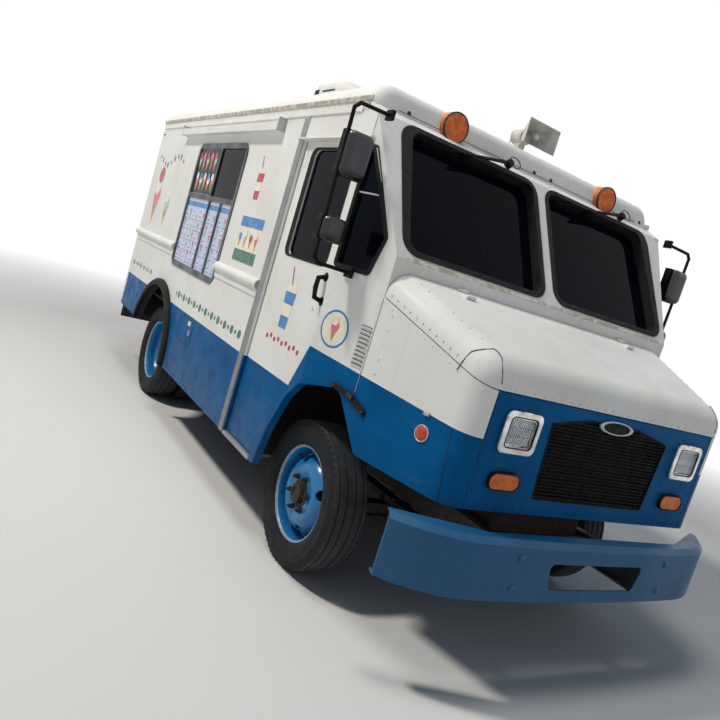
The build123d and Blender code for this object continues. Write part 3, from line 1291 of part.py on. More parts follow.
# Mirrors: one bent tube a side with two heads
MIRROR_R = 10.0
MIRROR_BEND = 28.0
MIRROR_OUT_X = 1390.0
MIRROR_S = -55.0
MIRROR_TOP_Z = 2412.0
MIRROR_LOW_Z = 1628.0
MIRROR_HEADS = ((2060.0, 2280.0, 145.0), (1740.0, 1862.0, 130.0))
with BuildPart() as mirrors:
    for side, _ in SIDES:
        root_x = taper_x(-20)
        low_x = taper_x(MIRROR_S)
        with BuildLine() as route:
            Polyline(
                (side * (root_x + 4), y_at(-20), MIRROR_TOP_Z + 12),
                (side * (MIRROR_OUT_X - MIRROR_BEND), y_at(MIRROR_S), MIRROR_TOP_Z),
                (side * MIRROR_OUT_X, y_at(MIRROR_S), MIRROR_TOP_Z - MIRROR_BEND),
                (side * (MIRROR_OUT_X - 16), y_at(MIRROR_S), MIRROR_LOW_Z + MIRROR_BEND),
                (side * (MIRROR_OUT_X - 16 - MIRROR_BEND), y_at(MIRROR_S), MIRROR_LOW_Z),
                (side * (low_x + 4), y_at(MIRROR_S), MIRROR_LOW_Z - 4),
            )
        with BuildSketch(Plane(origin=route.line @ 0, z_dir=route.line % 0)):
            Circle(MIRROR_R)
        sweep(path=route.line, transition=Transition.RIGHT)
        for s, x, z in ((-20, root_x, MIRROR_TOP_Z + 12), (MIRROR_S, low_x, MIRROR_LOW_Z - 4)):
            with Locations((side * (x + 10), y_at(s), z)):
                Box(20, 60, 50)
        for z0, z1, width in MIRROR_HEADS:
            with Locations((side * (MIRROR_OUT_X - width / 2 + 2), y_at(MIRROR_S + 22), (z0 + z1) / 2)):
                Box(width, 46, z1 - z0)
    for side, _ in SIDES:
        with BuildSketch(plan_plane(0)):
            with BuildLine():
                Polyline(
                    (side * taper_x(-200), -200), (side * taper_x(DOOR_FRONT_S), DOOR_FRONT_S),
                    (side * 700, DOOR_FRONT_S), (side * 700, -200), (side * taper_x(-200), -200),
                )
            make_face()
        extrude(amount=ROOF_TOP_Z, mode=Mode.SUBTRACT)
finish(mirrors, "mirrors")

# Wipers: arm and blade over each windscreen, parked along its top edge
WIPERS = ((-269.0, -1), (767.0, -1))
WIPER_V = SCREEN_H + 42
with BuildPart() as wipers:
    for x, turn in WIPERS:
        with BuildSketch(screen_plane(SCREEN_RECESS)):
            with Locations((x, WIPER_V)):
                Circle(22)
        extrude(amount=34)
        with BuildSketch(screen_plane(SCREEN_RECESS + 18)):
            Polygon(
                (x, WIPER_V - 9), (x, WIPER_V + 9), (x + turn * 330, WIPER_V - 66),
                (x + turn * 330, WIPER_V - 78), align=None,
            )
        extrude(amount=10)
        with BuildSketch(screen_plane(SEAT_GAP)):
            with Locations((x + turn * 330, WIPER_V - 72)):
                Rectangle(560, 12)
        extrude(amount=34)
        with BuildSketch(screen_plane(34)):
            with Locations((x + turn * 330, WIPER_V - 72)):
                Rectangle(24, 12)
        extrude(amount=SCREEN_RECESS + 28 - 34)
finish(wipers, "wipers")

# Side latches: a strap over the seam between nose and cab, one each side
with BuildPart() as side_latches:
    for side, _ in SIDES:
        with BuildSketch(side_plane(0)):
            Polygon(
                (-420, 985), (-310, 1030), (-165, 1058), (-165, 1078), (-310, 1066), (-420, 1015),
                align=None,
            )
        extrude(amount=side * (BODY_HALF + 60))
    with BuildPart(mode=Mode.PRIVATE) as band:
        for side, _ in SIDES:
            with BuildSketch(plan_plane(900)):
                Polygon(
                    (side * taper_x(-420), -420), (side * taper_x(-165), -165),
                    (side * (taper_x(-165) + 14), -165), (side * (taper_x(-420) + 14), -420),
                    align=None,
                )
            extrude(amount=300)
    add(band.part, mode=Mode.INTERSECT)
finish(side_latches, "side_latches")

# Roof air conditioner: a moulded wedge, high at the rear
AC_X = -200.0
AC_HALF = 370.0
AC_FRONT_S = 1330.0
AC_REAR_S = 2440.0
AC_NOSE_H = 194.0
AC_H = 394.0
AC_EASE = 70.0
with BuildPart() as roof_air_conditioner:
    with BuildSketch(side_plane(AC_X - AC_HALF)):
        Polygon(
            (AC_FRONT_S, ROOF_TOP_Z), (AC_FRONT_S + 60, ROOF_TOP_Z + AC_NOSE_H),
            (AC_FRONT_S + 630, ROOF_TOP_Z + AC_H - 12), (AC_REAR_S - 90, ROOF_TOP_Z + AC_H),
            (AC_REAR_S, ROOF_TOP_Z + AC_H - AC_EASE), (AC_REAR_S, ROOF_TOP_Z), align=None,
        )
    extrude(amount=2 * AC_HALF)
    crown = [
        e for e in roof_air_conditioner.edges()
        if e.center().Z > ROOF_TOP_Z + 1 and abs(e.center().X - AC_X) > AC_HALF - 1
        and e.center().Y < y_at(AC_REAR_S - 5)
    ]
    fillet(crown, radius=AC_EASE)
finish(roof_air_conditioner, "roof_air_conditioner")

# Roof vent: a low cover on the kerb side
with BuildPart() as roof_vent:
    with BuildSketch(plan_plane(ROOF_TOP_Z)):
        with Locations((-700, 3750)):
            Rectangle(420, 620)
    extrude(amount=42, taper=25)
finish(roof_vent, "roof_vent")

# Horn loudspeaker: flared rectangular mouth, throat, driver and foot
HORN_X = 95.0
HORN_LIFT = 140.0
HORN_Z = ROOF_TOP_Z + HORN_LIFT
HORN_S = 300.0
HORN_LEN = 150.0
HORN_WALL = 5.0
HORN_MOUTH = (270.0, 155.0)
HORN_THROAT = (76.0, 60.0)


def horn_flare(inset):
    """Flat-sided flare from the mouth to the throat, all sides moved in by inset."""
    mouth_x, mouth_z = (size / 2 - inset for size in HORN_MOUTH)
    throat_x, throat_z = (size / 2 - inset for size in HORN_THROAT)
    end_s = HORN_S + HORN_LEN
    with BuildPart() as flare:
        with BuildSketch(side_plane(HORN_X - mouth_x)):
            Polygon(
                (HORN_S, HORN_Z - mouth_z), (HORN_S, HORN_Z + mouth_z), (end_s, HORN_Z + throat_z),
                (end_s, HORN_Z - throat_z), align=None,
            )
        extrude(amount=2 * mouth_x)
        with BuildSketch(plan_plane(HORN_Z - mouth_z)):
            Polygon(
                (HORN_X - mouth_x, HORN_S), (HORN_X + mouth_x, HORN_S), (HORN_X + throat_x, end_s),
                (HORN_X - throat_x, end_s), align=None,
            )
        extrude(amount=2 * mouth_z, mode=Mode.INTERSECT)
    return flare.part


with BuildPart() as horn_speaker:
    add(horn_flare(0))
    add(horn_flare(HORN_WALL), mode=Mode.SUBTRACT)
    with BuildSketch(cross_plane(HORN_S + HORN_LEN)):
        with Locations((HORN_X, HORN_Z)):
            Circle(50)
    extrude(amount=-95)
    box(HORN_X - 25, HORN_X + 25, HORN_S + 165, HORN_S + 215, ROOF_TOP_Z, HORN_Z - 30)
finish(horn_speaker, "horn_speaker")

# Dashboard across the cab, behind the bulkhead
with BuildPart() as dashboard:
    with BuildSketch(side_plane(-950)):
        Polygon(
            (BULKHEAD_S, 1330), (BULKHEAD_S, 1600), (-160, 1590), (-70, 1480), (-110, 1330),
            align=None,
        )
    extrude(amount=1900)
finish(dashboard, "dashboard")

# Steering wheel and column on the driver's side
WHEEL_X = 540.0
WHEEL_S = 150.0
WHEEL_Z = 1390.0
WHEEL_TILT = 30.0
STEER_WHEEL_R = 225.0
STEER_RIM_R = 12.0
column_dir = Vector(0, -sin(radians(90 - WHEEL_TILT)), -cos(radians(90 - WHEEL_TILT)))
with BuildPart() as steering_wheel:
    hub_plane = Plane(origin=(WHEEL_X, y_at(WHEEL_S), WHEEL_Z), x_dir=(1, 0, 0), z_dir=column_dir)
    with Locations(hub_plane):
        Cylinder(STEER_WHEEL_R + STEER_RIM_R, 2 * STEER_RIM_R)
        Cylinder(STEER_WHEEL_R - STEER_RIM_R, 2 * STEER_RIM_R, mode=Mode.SUBTRACT)
        Cylinder(45, 30)
    with BuildSketch(hub_plane.offset(-6)):
        Rectangle(2 * STEER_WHEEL_R - 10, 34)
        with Locations((0, -STEER_WHEEL_R / 2)):
            Rectangle(34, STEER_WHEEL_R)
    extrude(amount=12)
    with BuildSketch(hub_plane):
        Circle(20)
    extrude(amount=600)
    box(WHEEL_X - 60, WHEEL_X + 60, 3 * SEAM_S, BULKHEAD_S + SEAT_GAP, 0, 2 * WHEEL_Z, mode=Mode.SUBTRACT)
finish(steering_wheel, "steering_wheel")

# Driver's seat on a pedestal
with BuildPart() as driver_seat:
    box(WHEEL_X - 120, WHEEL_X + 120, 640, 900, FLOOR_Z, 960)
    box(WHEEL_X - 240, WHEEL_X + 240, 530, 1010, 960, 1070)
    box(WHEEL_X - 230, WHEEL_X + 230, 970, 1070, 1070, 1640)
    fillet(driver_seat.edges().filter_by(Axis.X).group_by(Axis.Z)[-1], radius=40)
finish(driver_seat, "driver_seat")
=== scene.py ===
import math

import bmesh
import bpy
from mathutils import Matrix, Vector


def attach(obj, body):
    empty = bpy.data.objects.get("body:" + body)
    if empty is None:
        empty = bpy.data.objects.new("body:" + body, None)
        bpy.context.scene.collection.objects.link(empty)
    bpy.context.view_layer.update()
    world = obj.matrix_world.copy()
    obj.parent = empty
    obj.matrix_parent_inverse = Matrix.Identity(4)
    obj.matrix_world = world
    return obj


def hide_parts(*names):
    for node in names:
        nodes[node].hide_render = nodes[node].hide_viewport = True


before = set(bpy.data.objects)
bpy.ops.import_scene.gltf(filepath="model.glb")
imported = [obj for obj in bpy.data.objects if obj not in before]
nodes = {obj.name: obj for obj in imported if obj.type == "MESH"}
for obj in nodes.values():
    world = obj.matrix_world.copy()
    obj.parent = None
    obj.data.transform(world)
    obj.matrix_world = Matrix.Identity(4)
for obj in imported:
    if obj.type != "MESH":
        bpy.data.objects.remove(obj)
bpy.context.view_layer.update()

# Underframe: pressed steel channel rails with cross members, painted black and covered in road
# dust. The cross members are riveted in, and leaf springs with steel clips carry both axles.
FRONT_AXLE = -1.7025


def linear(hex_colour):
    """An sRGB hex colour as linear RGBA."""
    channels = [int(hex_colour[i:i + 2], 16) / 255 for i in (0, 2, 4)]
    return (*[c / 12.92 if c <= 0.04045 else ((c + 0.055) / 1.055) ** 2.4 for c in channels], 1.0)


def add_node(mat, kind, inputs=(), **settings):
    """Adds a shader node; each input is a value for its socket or another node's output."""
    made = mat.node_tree.nodes.new("ShaderNode" + kind)
    for key, value in settings.items():
        setattr(made, key, value)
    for key, value in dict(inputs).items():
        if isinstance(value, bpy.types.NodeSocket):
            mat.node_tree.links.new(value, made.inputs[key])
        else:
            made.inputs[key].default_value = value
    return made


def calc(mat, operation, a, b=0.0, clamp=False):
    return add_node(mat, "Math", {0: a, 1: b}, operation=operation, use_clamp=clamp).outputs[0]


def mixed(mat, factor, a, b):
    """Colour a where the factor is 0 and colour b where it is 1."""
    return add_node(mat, "Mix", {0: factor, 6: a, 7: b}, data_type="RGBA").outputs[2]


def spread(mat, value, low, high, to_low=0.0, to_high=1.0):
    sizes = {"Value": value, "From Min": low, "From Max": high, "To Min": to_low, "To Max": to_high}
    return add_node(mat, "MapRange", sizes).outputs[0]


def coords(mat):
    return add_node(mat, "TexCoord").outputs["Object"]


def noise(mat, size_mm, detail=5.0, stretch=(1, 1, 1), low=0.4, high=0.6, offset=0.0):
    """Cloudy noise in the row frame with features of a real size, spread from 0 to 1."""
    moved = {"Vector": coords(mat), "Location": (offset, offset, offset), "Scale": stretch}
    place = add_node(mat, "Mapping", moved).outputs[0]
    cloud = add_node(mat, "TexNoise", {"Vector": place, "Scale": 1000 / size_mm, "Detail": detail})
    return spread(mat, cloud.outputs[0], low, high)


def blank(name):
    mat = bpy.data.materials.new(name)
    mat.use_nodes = True
    mat.node_tree.nodes.clear()
    return mat


def principled(mat, inputs):
    """Ends a material with a Principled shader that has these inputs."""
    shader = add_node(mat, "BsdfPrincipled", inputs)
    add_node(mat, "OutputMaterial", {0: shader.outputs[0]})
    return mat


def surface(name, base, worn, rough=(0.4, 0.6), metallic=0.0, patch_mm=80, grain_mm=2.0, bump_mm=0.1,
            dust=0.0, specular=0.5):
    """Principled material with patches of wear, fine grain and, if asked, road dust low down."""
    mat = blank(name)
    wear = noise(mat, patch_mm)
    colour = mixed(mat, wear, linear(base), linear(worn))
    roughness = spread(mat, wear, 0, 1, *rough)
    if dust:
        height = add_node(mat, "SeparateXYZ", {0: coords(mat)}).outputs[2]
        low = spread(mat, height, 0.95, 0.1)
        film = calc(mat, "MULTIPLY", low, noise(mat, 45, low=0.3, high=0.75, offset=3.0))
        film = calc(mat, "MULTIPLY", film, dust, clamp=True)
        colour = mixed(mat, film, colour, linear("9A9286"))
        roughness = calc(mat, "MAXIMUM", roughness, calc(mat, "MULTIPLY", film, 0.9))
    grain = noise(mat, grain_mm, detail=3.0, low=0.2, high=0.8)
    bump = add_node(mat, "Bump", {"Height": grain, "Distance": bump_mm / 1000, "Strength": 0.6})
    return principled(mat, {
        "Base Color": colour, "Roughness": roughness, "Metallic": metallic, "Normal": bump.outputs[0],
        "Specular IOR Level": specular,
    })


def at(x, s, z):
    """A point from its x, its distance behind the front axle and its height, in metres."""
    return Vector((x, FRONT_AXLE + s, z))


def soften(piece, bevel, angle):
    """Smooth shading between sharp edges, which are rounded where a bevel is given."""
    piece.data.polygons.foreach_set("use_smooth", [True] * len(piece.data.polygons))
    piece.data.set_sharp_from_angle(angle=math.radians(angle))
    if bevel:
        edges = piece.modifiers.new("edges", "BEVEL")
        edges.width = bevel
        edges.segments = 2
        edges.limit_method = "ANGLE"
        edges.angle_limit = math.radians(angle)


def dress(name, *materials, bevel=0.0, angle=35):
    """Gives a CAD node its materials, smooth shading and small rounded edges."""
    piece = nodes[name]
    piece.data.materials.clear()
    for m in materials:
        piece.data.materials.append(m)
    soften(piece, bevel, angle)
    return piece


class Shape:
    """Collects surfaces in the row frame and makes one piece of them. A place function turns
    (across, up, out) on a panel into a point."""

    def __init__(self):
        self.points, self.faces, self.slots = [], [], []

    def add(self, points, faces, slot=0):
        start = len(self.points)
        self.points += [Vector(p) for p in points]
        self.faces += [tuple(i + start for i in f) for f in faces]
        self.slots += [slot] * len(faces)

    def block(self, low, high, slot=0):
        (x0, y0, z0), (x1, y1, z1) = low, high
        corners = [(x, y, z) for z in (z0, z1) for y in (y0, y1) for x in (x0, x1)]
        faces = [(0, 2, 3, 1), (4, 5, 7, 6), (0, 1, 5, 4), (2, 6, 7, 3), (0, 4, 6, 2), (1, 3, 7, 5)]
        self.add(corners, faces, slot)

    def prism(self, outline, push, slot=0):
        """The outline and its copy moved by push, with the sides between them."""
        n = len(outline)
        points = [Vector(p) for p in outline]
        points += [p + Vector(push) for p in points]
        sides = [(i, (i + 1) % n, n + (i + 1) % n, n + i) for i in range(n)]
        self.add(points, [tuple(range(n - 1, -1, -1)), tuple(range(n, 2 * n)), *sides], slot)

    def panel(self, place, outline, low, high, slot=0):
        """A flat outline on a panel, drawn out from low to high."""
        self.prism([place(p[0], p[1], low) for p in outline], place(0, 0, high) - place(0, 0, low), slot)

    def ring(self, place, outer, inner, low, high, slot=0):
        """A frame on a panel between two outlines with the same number of points."""
        n = len(outer)
        points = [place(p[0], p[1], low) for p in (*outer, *inner)]
        push = place(0, 0, high) - place(0, 0, low)
        faces = []
        for i in range(n):
            j = (i + 1) % n
            faces += [(i, j, n + j, n + i), (2 * n + i, 3 * n + i, 3 * n + j, 2 * n + j),
                      (i, 2 * n + i, 2 * n + j, j), (n + i, n + j, 3 * n + j, 3 * n + i)]
        self.add(points + [p + push for p in points], faces, slot)

    def turned(self, origin, axis, profile, segments=48, slot=0, closed=False):
        """Surface turned about an axis from (along, radius) points."""
        axis = Vector(axis).normalized()
        a = axis.orthogonal().normalized()
        b = axis.cross(a)
        rings, points = [], []
        for reach, radius in profile:
            centre = Vector(origin) + axis * reach
            if radius < 1e-6:
                rings.append([len(points)] * segments)
                points.append(centre)
                continue
            rings.append(list(range(len(points), len(points) + segments)))
            for i in range(segments):
                t = 2 * math.pi * i / segments
                points.append(centre + radius * (a * math.cos(t) + b * math.sin(t)))
        faces = []
        pairs = list(zip(rings, rings[1:])) + ([(rings[-1], rings[0])] if closed else [])
        for one, two in pairs:
            for i in range(segments):
                j = (i + 1) % segments
                face = list(dict.fromkeys((one[i], one[j], two[j], two[i])))
                if len(face) > 2:
                    faces.append(tuple(face))
        self.add(points, faces, slot)

    def tube(self, path, radius, sides=10, slot=0):
        """Round bar along a path, with flat ends."""
        path = [Vector(p) for p in path]
        points, faces = [], []
        normal = (path[1] - path[0]).orthogonal().normalized()
        for i, p in enumerate(path):
            ahead = path[min(i + 1, len(path) - 1)] - path[max(i - 1, 0)]
            ahead.normalize()
            normal = (normal - ahead * normal.dot(ahead)).normalized()
            other = ahead.cross(normal)
            for k in range(sides):
                t = 2 * math.pi * k / sides
                points.append(p + radius * (normal * math.cos(t) + other * math.sin(t)))
        for i in range(len(path) - 1):
            for k in range(sides):
                j = (k + 1) % sides
                faces.append((i * sides + k, i * sides + j, (i + 1) * sides + j, (i + 1) * sides + k))
        last = (len(path) - 1) * sides
        faces += [tuple(range(sides - 1, -1, -1)), tuple(range(last, last + sides))]
        self.add(points, faces, slot)

    def domes(self, centres, normal, radius, height, sides=8, slot=0):
        """Round-headed rivets or bolts on a surface."""
        profile = [(-0.001, radius), (height * 0.55, radius * 0.86), (height, radius * 0.45), (height, 0)]
        for c in centres:
            self.turned(c, normal, profile, sides, slot)

    def make(self, name, body, *materials, bevel=0.0, angle=35):
        mesh = bpy.data.meshes.new(name)
        mesh.from_pydata([tuple(p) for p in self.points], [], self.faces)
        work = bmesh.new()
        work.from_mesh(mesh)
        bmesh.ops.recalc_face_normals(work, faces=work.faces)
        work.to_mesh(mesh)
        work.free()
        for m in materials:
            mesh.materials.append(m)
        mesh.polygons.foreach_set("material_index", self.slots)
        made = bpy.data.objects.new(name, mesh)
        bpy.context.scene.collection.objects.link(made)
        soften(made, bevel, angle)
        if body:
            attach(made, body)
        return made


chassis_black = surface("chassis_black_paint", "131415", "262421", (0.55, 0.85), patch_mm=120, dust=0.35)
cast_iron = surface("rusty_cast_iron", "231F1D", "3A2A20", (0.7, 0.9), metallic=0.2, patch_mm=30,
                    grain_mm=1.5, bump_mm=0.4, dust=0.2)
exhaust_steel = surface("aluminised_exhaust_steel", "6A6660", "6E4A30", (0.45, 0.75), metallic=0.7,
                        patch_mm=90, dust=0.4)
for name in ("chassis_frame", "leaf_springs", "tie_rod", "drive_shaft", "fuel_tank"):
    dress(name, chassis_black, bevel=0.002)
for name in ("front_axle_beam", "rear_axle", "knuckle_left", "knuckle_right", "engine_block"):
    dress(name, cast_iron, bevel=0.003)
dress("exhaust_pipe", exhaust_steel)
underneath = Shape()
for side in (-1, 1):
    for s in (-0.8, 0.62, 1.5, 2.5, 3.9):
        for z in (0.51, 0.54):
            for ds in (-0.02, 0.02):
                underneath.domes([at(side * 0.432, s + ds, z)], (side, 0, 0), 0.009, 0.006)
    for s0, x, z in ((0.0, 0.402, 0.4), (3.175, 0.48, 0.462)):
        for s in (s0 - 0.06, s0 + 0.06):
            corners = ((-0.045, -0.1), (-0.045, 0.046), (0.045, 0.046), (0.045, -0.1))
            underneath.tube([at(side * (x + dx), s, z + dz) for dx, dz in corners], 0.008, 8)
underneath.make("spring_clips_and_rivets", "truck", chassis_black)

# Tyres: radial truck tyres of black rubber with four circumferential grooves and a plain sidewall
# with a rubbing ring; the tread is grey with road dust, and twin tyres share each rear hub.
tyre_rubber = surface("dusty_tyre_rubber", "15161A", "1D1F23", (0.7, 0.9), patch_mm=120, grain_mm=3,
                      bump_mm=0.25, dust=0.06, specular=0.2)
tread_rubber = surface("worn_tread_rubber", "2B2D30", "3C3E40", (0.85, 1.0), patch_mm=60, grain_mm=4,
                       bump_mm=0.5)
HUB_Z = 0.4055
TREAD_FACE = 0.4052
TWIN_GAP = 0.254
RIM_R = 0.2645
# Each wheel's name, side, place of its outer tyre across and along the truck, and body.
WHEELS = (
    ("front_left", 1, 0.952, 0.0, "wheel_front_left"), ("front_right", -1, 0.952, 0.0, "wheel_front_right"),
    ("rear_left", 1, 0.987, 3.175, "wheels_rear_left"), ("rear_right", -1, 0.987, 3.175, "wheels_rear_right"))
side_profile = [(0.084, RIM_R), (0.096, 0.276), (0.104, 0.286), (0.1045, 0.291), (0.109, 0.305),
                (0.1125, 0.325), (0.113, 0.338), (0.1115, 0.352), (0.1128, 0.356), (0.1122, 0.366),
                (0.1085, 0.371), (0.1055, 0.381), (0.1035, 0.390), (0.0995, 0.3975)]
tread_profile = [(0.0995, 0.3975), (0.095, 0.4015)]
for groove in (0.072, 0.027, -0.027, -0.072):
    for w, depth in ((0.0065, 0), (0.0045, 0.011), (-0.0045, 0.011), (-0.0065, 0)):
        tread_profile.append((groove + w, TREAD_FACE - 0.28 * groove ** 2 - depth))
tread_profile += [(-0.095, 0.4015), (-0.0995, 0.3975)]
for name, side, x, s, body in WHEELS:
    tyre = Shape()
    for across in ((x,) if s == 0 else (x, x - TWIN_GAP)):
        hub = at(side * across, s, HUB_Z)
        tyre.turned(hub, (side, 0, 0), side_profile, 120, 0)
        tyre.turned(hub, (-side, 0, 0), side_profile, 120, 0)
        tyre.turned(hub, (side, 0, 0), tread_profile, 120, 1)
        tyre.turned(hub, (side, 0, 0), [(0.084, RIM_R), (-0.084, RIM_R)], 60, 0)
        for end in (-side, side):
            for k in range(60):
                t = 2 * math.pi * k / 60
                up = Vector((0, math.sin(t), math.cos(t)))
                half = Vector((0, math.cos(t), -math.sin(t))) * 0.0015
                cut = hub + Vector((end * 0.0915, 0, 0)) + up * 0.4022
                wide = Vector((end * 0.012, 0, 0))
                tyre.prism([cut - half, cut + half, cut + half + wide, cut - half + wide], up * -0.006, 0)
    piece = tyre.make("tyre_" + name, body, tyre_rubber, tread_rubber, angle=28)
    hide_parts("tyre_" + name if s == 0 else "tyres_" + name)

# Wheels: pressed steel discs welded into rolled rims, painted bright blue with worn flange edges.
# The front disc domes outwards, the twin rear disc is a deep dish, and six nuts hold each.
wheel_blue = surface("bright_blue_wheel_enamel", "0078B6", "006A9E", (0.18, 0.32), patch_mm=150, grain_mm=4,
                     bump_mm=0.05, dust=0.1)
worn_flange = surface("worn_rim_flange_paint", "6FA3C8", "8A8C8A", (0.4, 0.6), metallic=0.2,
                      patch_mm=14, dust=0.2)
rusty_hub = surface("rusty_hub_iron", "1E1F21", "35291F", (0.5, 0.8), metallic=0.3, patch_mm=16, grain_mm=1.5,
                    bump_mm=0.4)
rim_profile = [(-0.086, RIM_R), (-0.088, 0.262), (-0.086, 0.257), (-0.078, 0.2505), (-0.05, 0.243),
               (0.045, 0.243), (0.066, 0.2465), (0.078, 0.2505)]
flange_profile = [(0.078, 0.2505), (0.0835, 0.2535), (0.0872, 0.2575), (0.0885, 0.262), (0.0868, 0.2642),
                  (0.084, 0.2643)]
dome = [(0.0, 0.2435), (-0.012, 0.240), (-0.014, 0.232), (-0.008, 0.2245), (0.012, 0.2175), (0.034, 0.2085),
        (0.052, 0.197), (0.066, 0.183), (0.0765, 0.167), (0.0825, 0.151), (0.0835, 0.137), (0.081, 0.126),
        (0.0772, 0.117), (0.0762, 0.111), (0.0762, 0.075)]
dish = [(0.012, 0.2435), (0.0, 0.238), (-0.03, 0.222), (-0.062, 0.204), (-0.088, 0.186), (-0.104, 0.168),
        (-0.112, 0.150), (-0.116, 0.130), (-0.118, 0.112), (-0.118, 0.075)]
for name, side, x, s, body in WHEELS:
    hub = at(side * x, s, HUB_Z)
    axis = Vector((side, 0, 0))
    front = s == 0
    profile = dome if front else dish
    disc = Shape()
    shell = profile + [(a - 0.009, max(r - 0.001, 0.0)) for a, r in reversed(profile)]
    disc.turned(hub, axis, shell, 96, 0, closed=True)
    plate = disc.make("disc_" + name, body, wheel_blue, angle=30)
    cutter = Shape()
    for k in range(4):
        t = math.radians(20 + 90 * k)
        spot = hub + Vector((0, -math.cos(t) * 0.196, math.sin(t) * 0.196))
        cutter.turned(spot - axis * 0.16, axis, [(0, 0), (0, 0.03), (0.32, 0.03), (0.32, 0)], 32, 0)
    cutting = cutter.make("cutter_" + name, body, wheel_blue)
    hole = plate.modifiers.new("hand_holes", "BOOLEAN")
    hole.object = cutting
    hole.operation = "DIFFERENCE"
    hole.solver = "EXACT"
    bpy.context.view_layer.update()
    evaluated = plate.evaluated_get(bpy.context.evaluated_depsgraph_get())
    holed = bpy.data.meshes.new_from_object(evaluated)
    plate.modifiers.clear()
    plate.data = holed
    holed.set_sharp_from_angle(angle=math.radians(30))
    bpy.data.objects.remove(cutting)
    rim = Shape()
    for across in ((x,) if front else (x, x - TWIN_GAP)):
        centre = at(side * across, s, HUB_Z)
        rim.turned(centre, axis, rim_profile, 96, 0)
        rim.turned(centre, axis, flange_profile, 96, 1)
        rim.turned(centre, axis, [(-0.086, RIM_R), (0.086, RIM_R)], 96, 1)
        rim.turned(centre, axis, [(-0.08, 0.2395), (0.04, 0.2395)], 96, 0)
    if not front:
        inner = at(side * (x - TWIN_GAP), s, HUB_Z)
        rim.turned(inner, axis, [(-a, r) for a, r in dish], 96, 0)
        rim.turned(inner, axis, [(0.118, 0.075), (0.118, 0.12)], 48, 0)
    face, end = (0.0762, 0.0762) if front else (-0.118, -0.098)
    cap = [(face - 0.04, 0.0), (face - 0.04, 0.078), (face + 0.004, 0.078), (face + 0.006, 0.072),
           (face + 0.006, 0.058), (end + 0.03, 0.055), (end + 0.033, 0.05), (end + 0.033, 0.034),
           (end + 0.026, 0.03), (end + 0.026, 0.0)]
    rim.turned(hub, axis, cap, 48, 2)
    rim.turned(hub, axis, [(-0.16, 0.0302), (-0.16, 0.06), (face - 0.03, 0.06)], 40, 2)
    for k in range(6):
        t = math.radians(10 + 60 * k)
        spot = hub + Vector((0, -math.cos(t) * 0.096, math.sin(t) * 0.096)) + axis * face
        rim.turned(spot, axis, [(0, 0.0), (0, 0.017), (0.005, 0.0165), (0.006, 0.0145), (0.024, 0.0135),
                                (0.026, 0.009), (0.026, 0.0)], 6, 2)
        rim.turned(spot, axis, [(0.024, 0.0), (0.024, 0.008), (0.036, 0.0075), (0.036, 0.0)], 10, 2)
    valve = hub + Vector((0, 0.12, 0.168)) + axis * (0.05 if front else -0.06)
    rim.tube([valve, valve + Vector((side * 0.03, 0.01, 0.012))], 0.0045, 8, 3)
    wheel = rim.make("rim_" + name, body, wheel_blue, worn_flange, rusty_hub, tyre_rubber, angle=30)
    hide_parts("rim_" + name if front else "rims_" + name)

# Load body: riveted aluminium sheets on the sides, white above and blue below one straight line,
# under a rolled roof with a ribbed drip rail; the rear frame closes it and carries the doors.
HALF = 1.185


def body_paint(name, split=None):
    """Old white body enamel with rust specks and streaks; below the split it is deep blue."""
    mat = blank(name)
    x, y, z = add_node(mat, "SeparateXYZ", {0: coords(mat)}).outputs
    colour = mixed(mat, noise(mat, 420, low=0.42, high=0.66), linear("E6E6E1"), linear("DFDED8"))
    streak = noise(mat, 28, stretch=(1, 1, 0.06), low=0.55, high=0.8, offset=7.0)
    colour = mixed(mat, calc(mat, "MULTIPLY", streak, 0.2), colour, linear("B2ADA2"))
    specks = noise(mat, 16, detail=8.0, low=0.735, high=0.76, offset=11.0)
    colour = mixed(mat, calc(mat, "MULTIPLY", specks, 0.8), colour, linear("7C5636"))
    if split:
        blue = mixed(mat, noise(mat, 260, low=0.4, high=0.68, offset=2.0), linear("005990"), linear("004E82"))
        scuff = noise(mat, 60, stretch=(1, 0.25, 1.6), low=0.6, high=0.78, offset=5.0)
        blue = mixed(mat, calc(mat, "MULTIPLY", scuff, 0.07), blue, linear("7C97A8"))
        colour = mixed(mat, split(mat, x, y, z), colour, blue)
    film = calc(mat, "MULTIPLY", spread(mat, z, 0.78, 0.42), noise(mat, 70, low=0.25, high=0.8, offset=3.0))
    film = calc(mat, "MULTIPLY", film, 0.3)
    colour = mixed(mat, film, colour, linear("8F8A80"))
    roughness = calc(mat, "ADD", 0.3, calc(mat, "MULTIPLY", noise(mat, 120, offset=9.0), 0.18))
    roughness = calc(mat, "MAXIMUM", roughness, calc(mat, "MULTIPLY", film, 1.2))
    waves = calc(mat, "MULTIPLY", noise(mat, 520, detail=2.0, low=0.3, high=0.7), 0.25)
    peel = calc(mat, "MULTIPLY", noise(mat, 4, detail=2.0, low=0.2, high=0.8), 0.012)
    height = calc(mat, "ADD", waves, peel)
    bump = add_node(mat, "Bump", {"Height": height, "Distance": 0.006, "Strength": 0.35}).outputs[0]
    return principled(mat, {
        "Base Color": colour, "Roughness": roughness, "Normal": bump, "Specular IOR Level": 0.05,
    })


def below_level(mat, x, y, z):
    return calc(mat, "LESS_THAN", z, 0.933)


def below_slope(mat, x, y, z):
    line = calc(mat, "ADD", calc(mat, "MULTIPLY", calc(mat, "ADD", y, -FRONT_AXLE), 0.075), 1.193)
    return calc(mat, "LESS_THAN", z, line)


def below_nose(mat, x, y, z):
    """Below the sloping line at the sides, and up to the hood on the middle of the front."""
    middle = calc(mat, "LESS_THAN", calc(mat, "ABSOLUTE", x), 0.82)
    front = calc(mat, "LESS_THAN", y, -2.62)
    return calc(mat, "MAXIMUM", below_slope(mat, x, y, z), calc(mat, "MULTIPLY", middle, front))


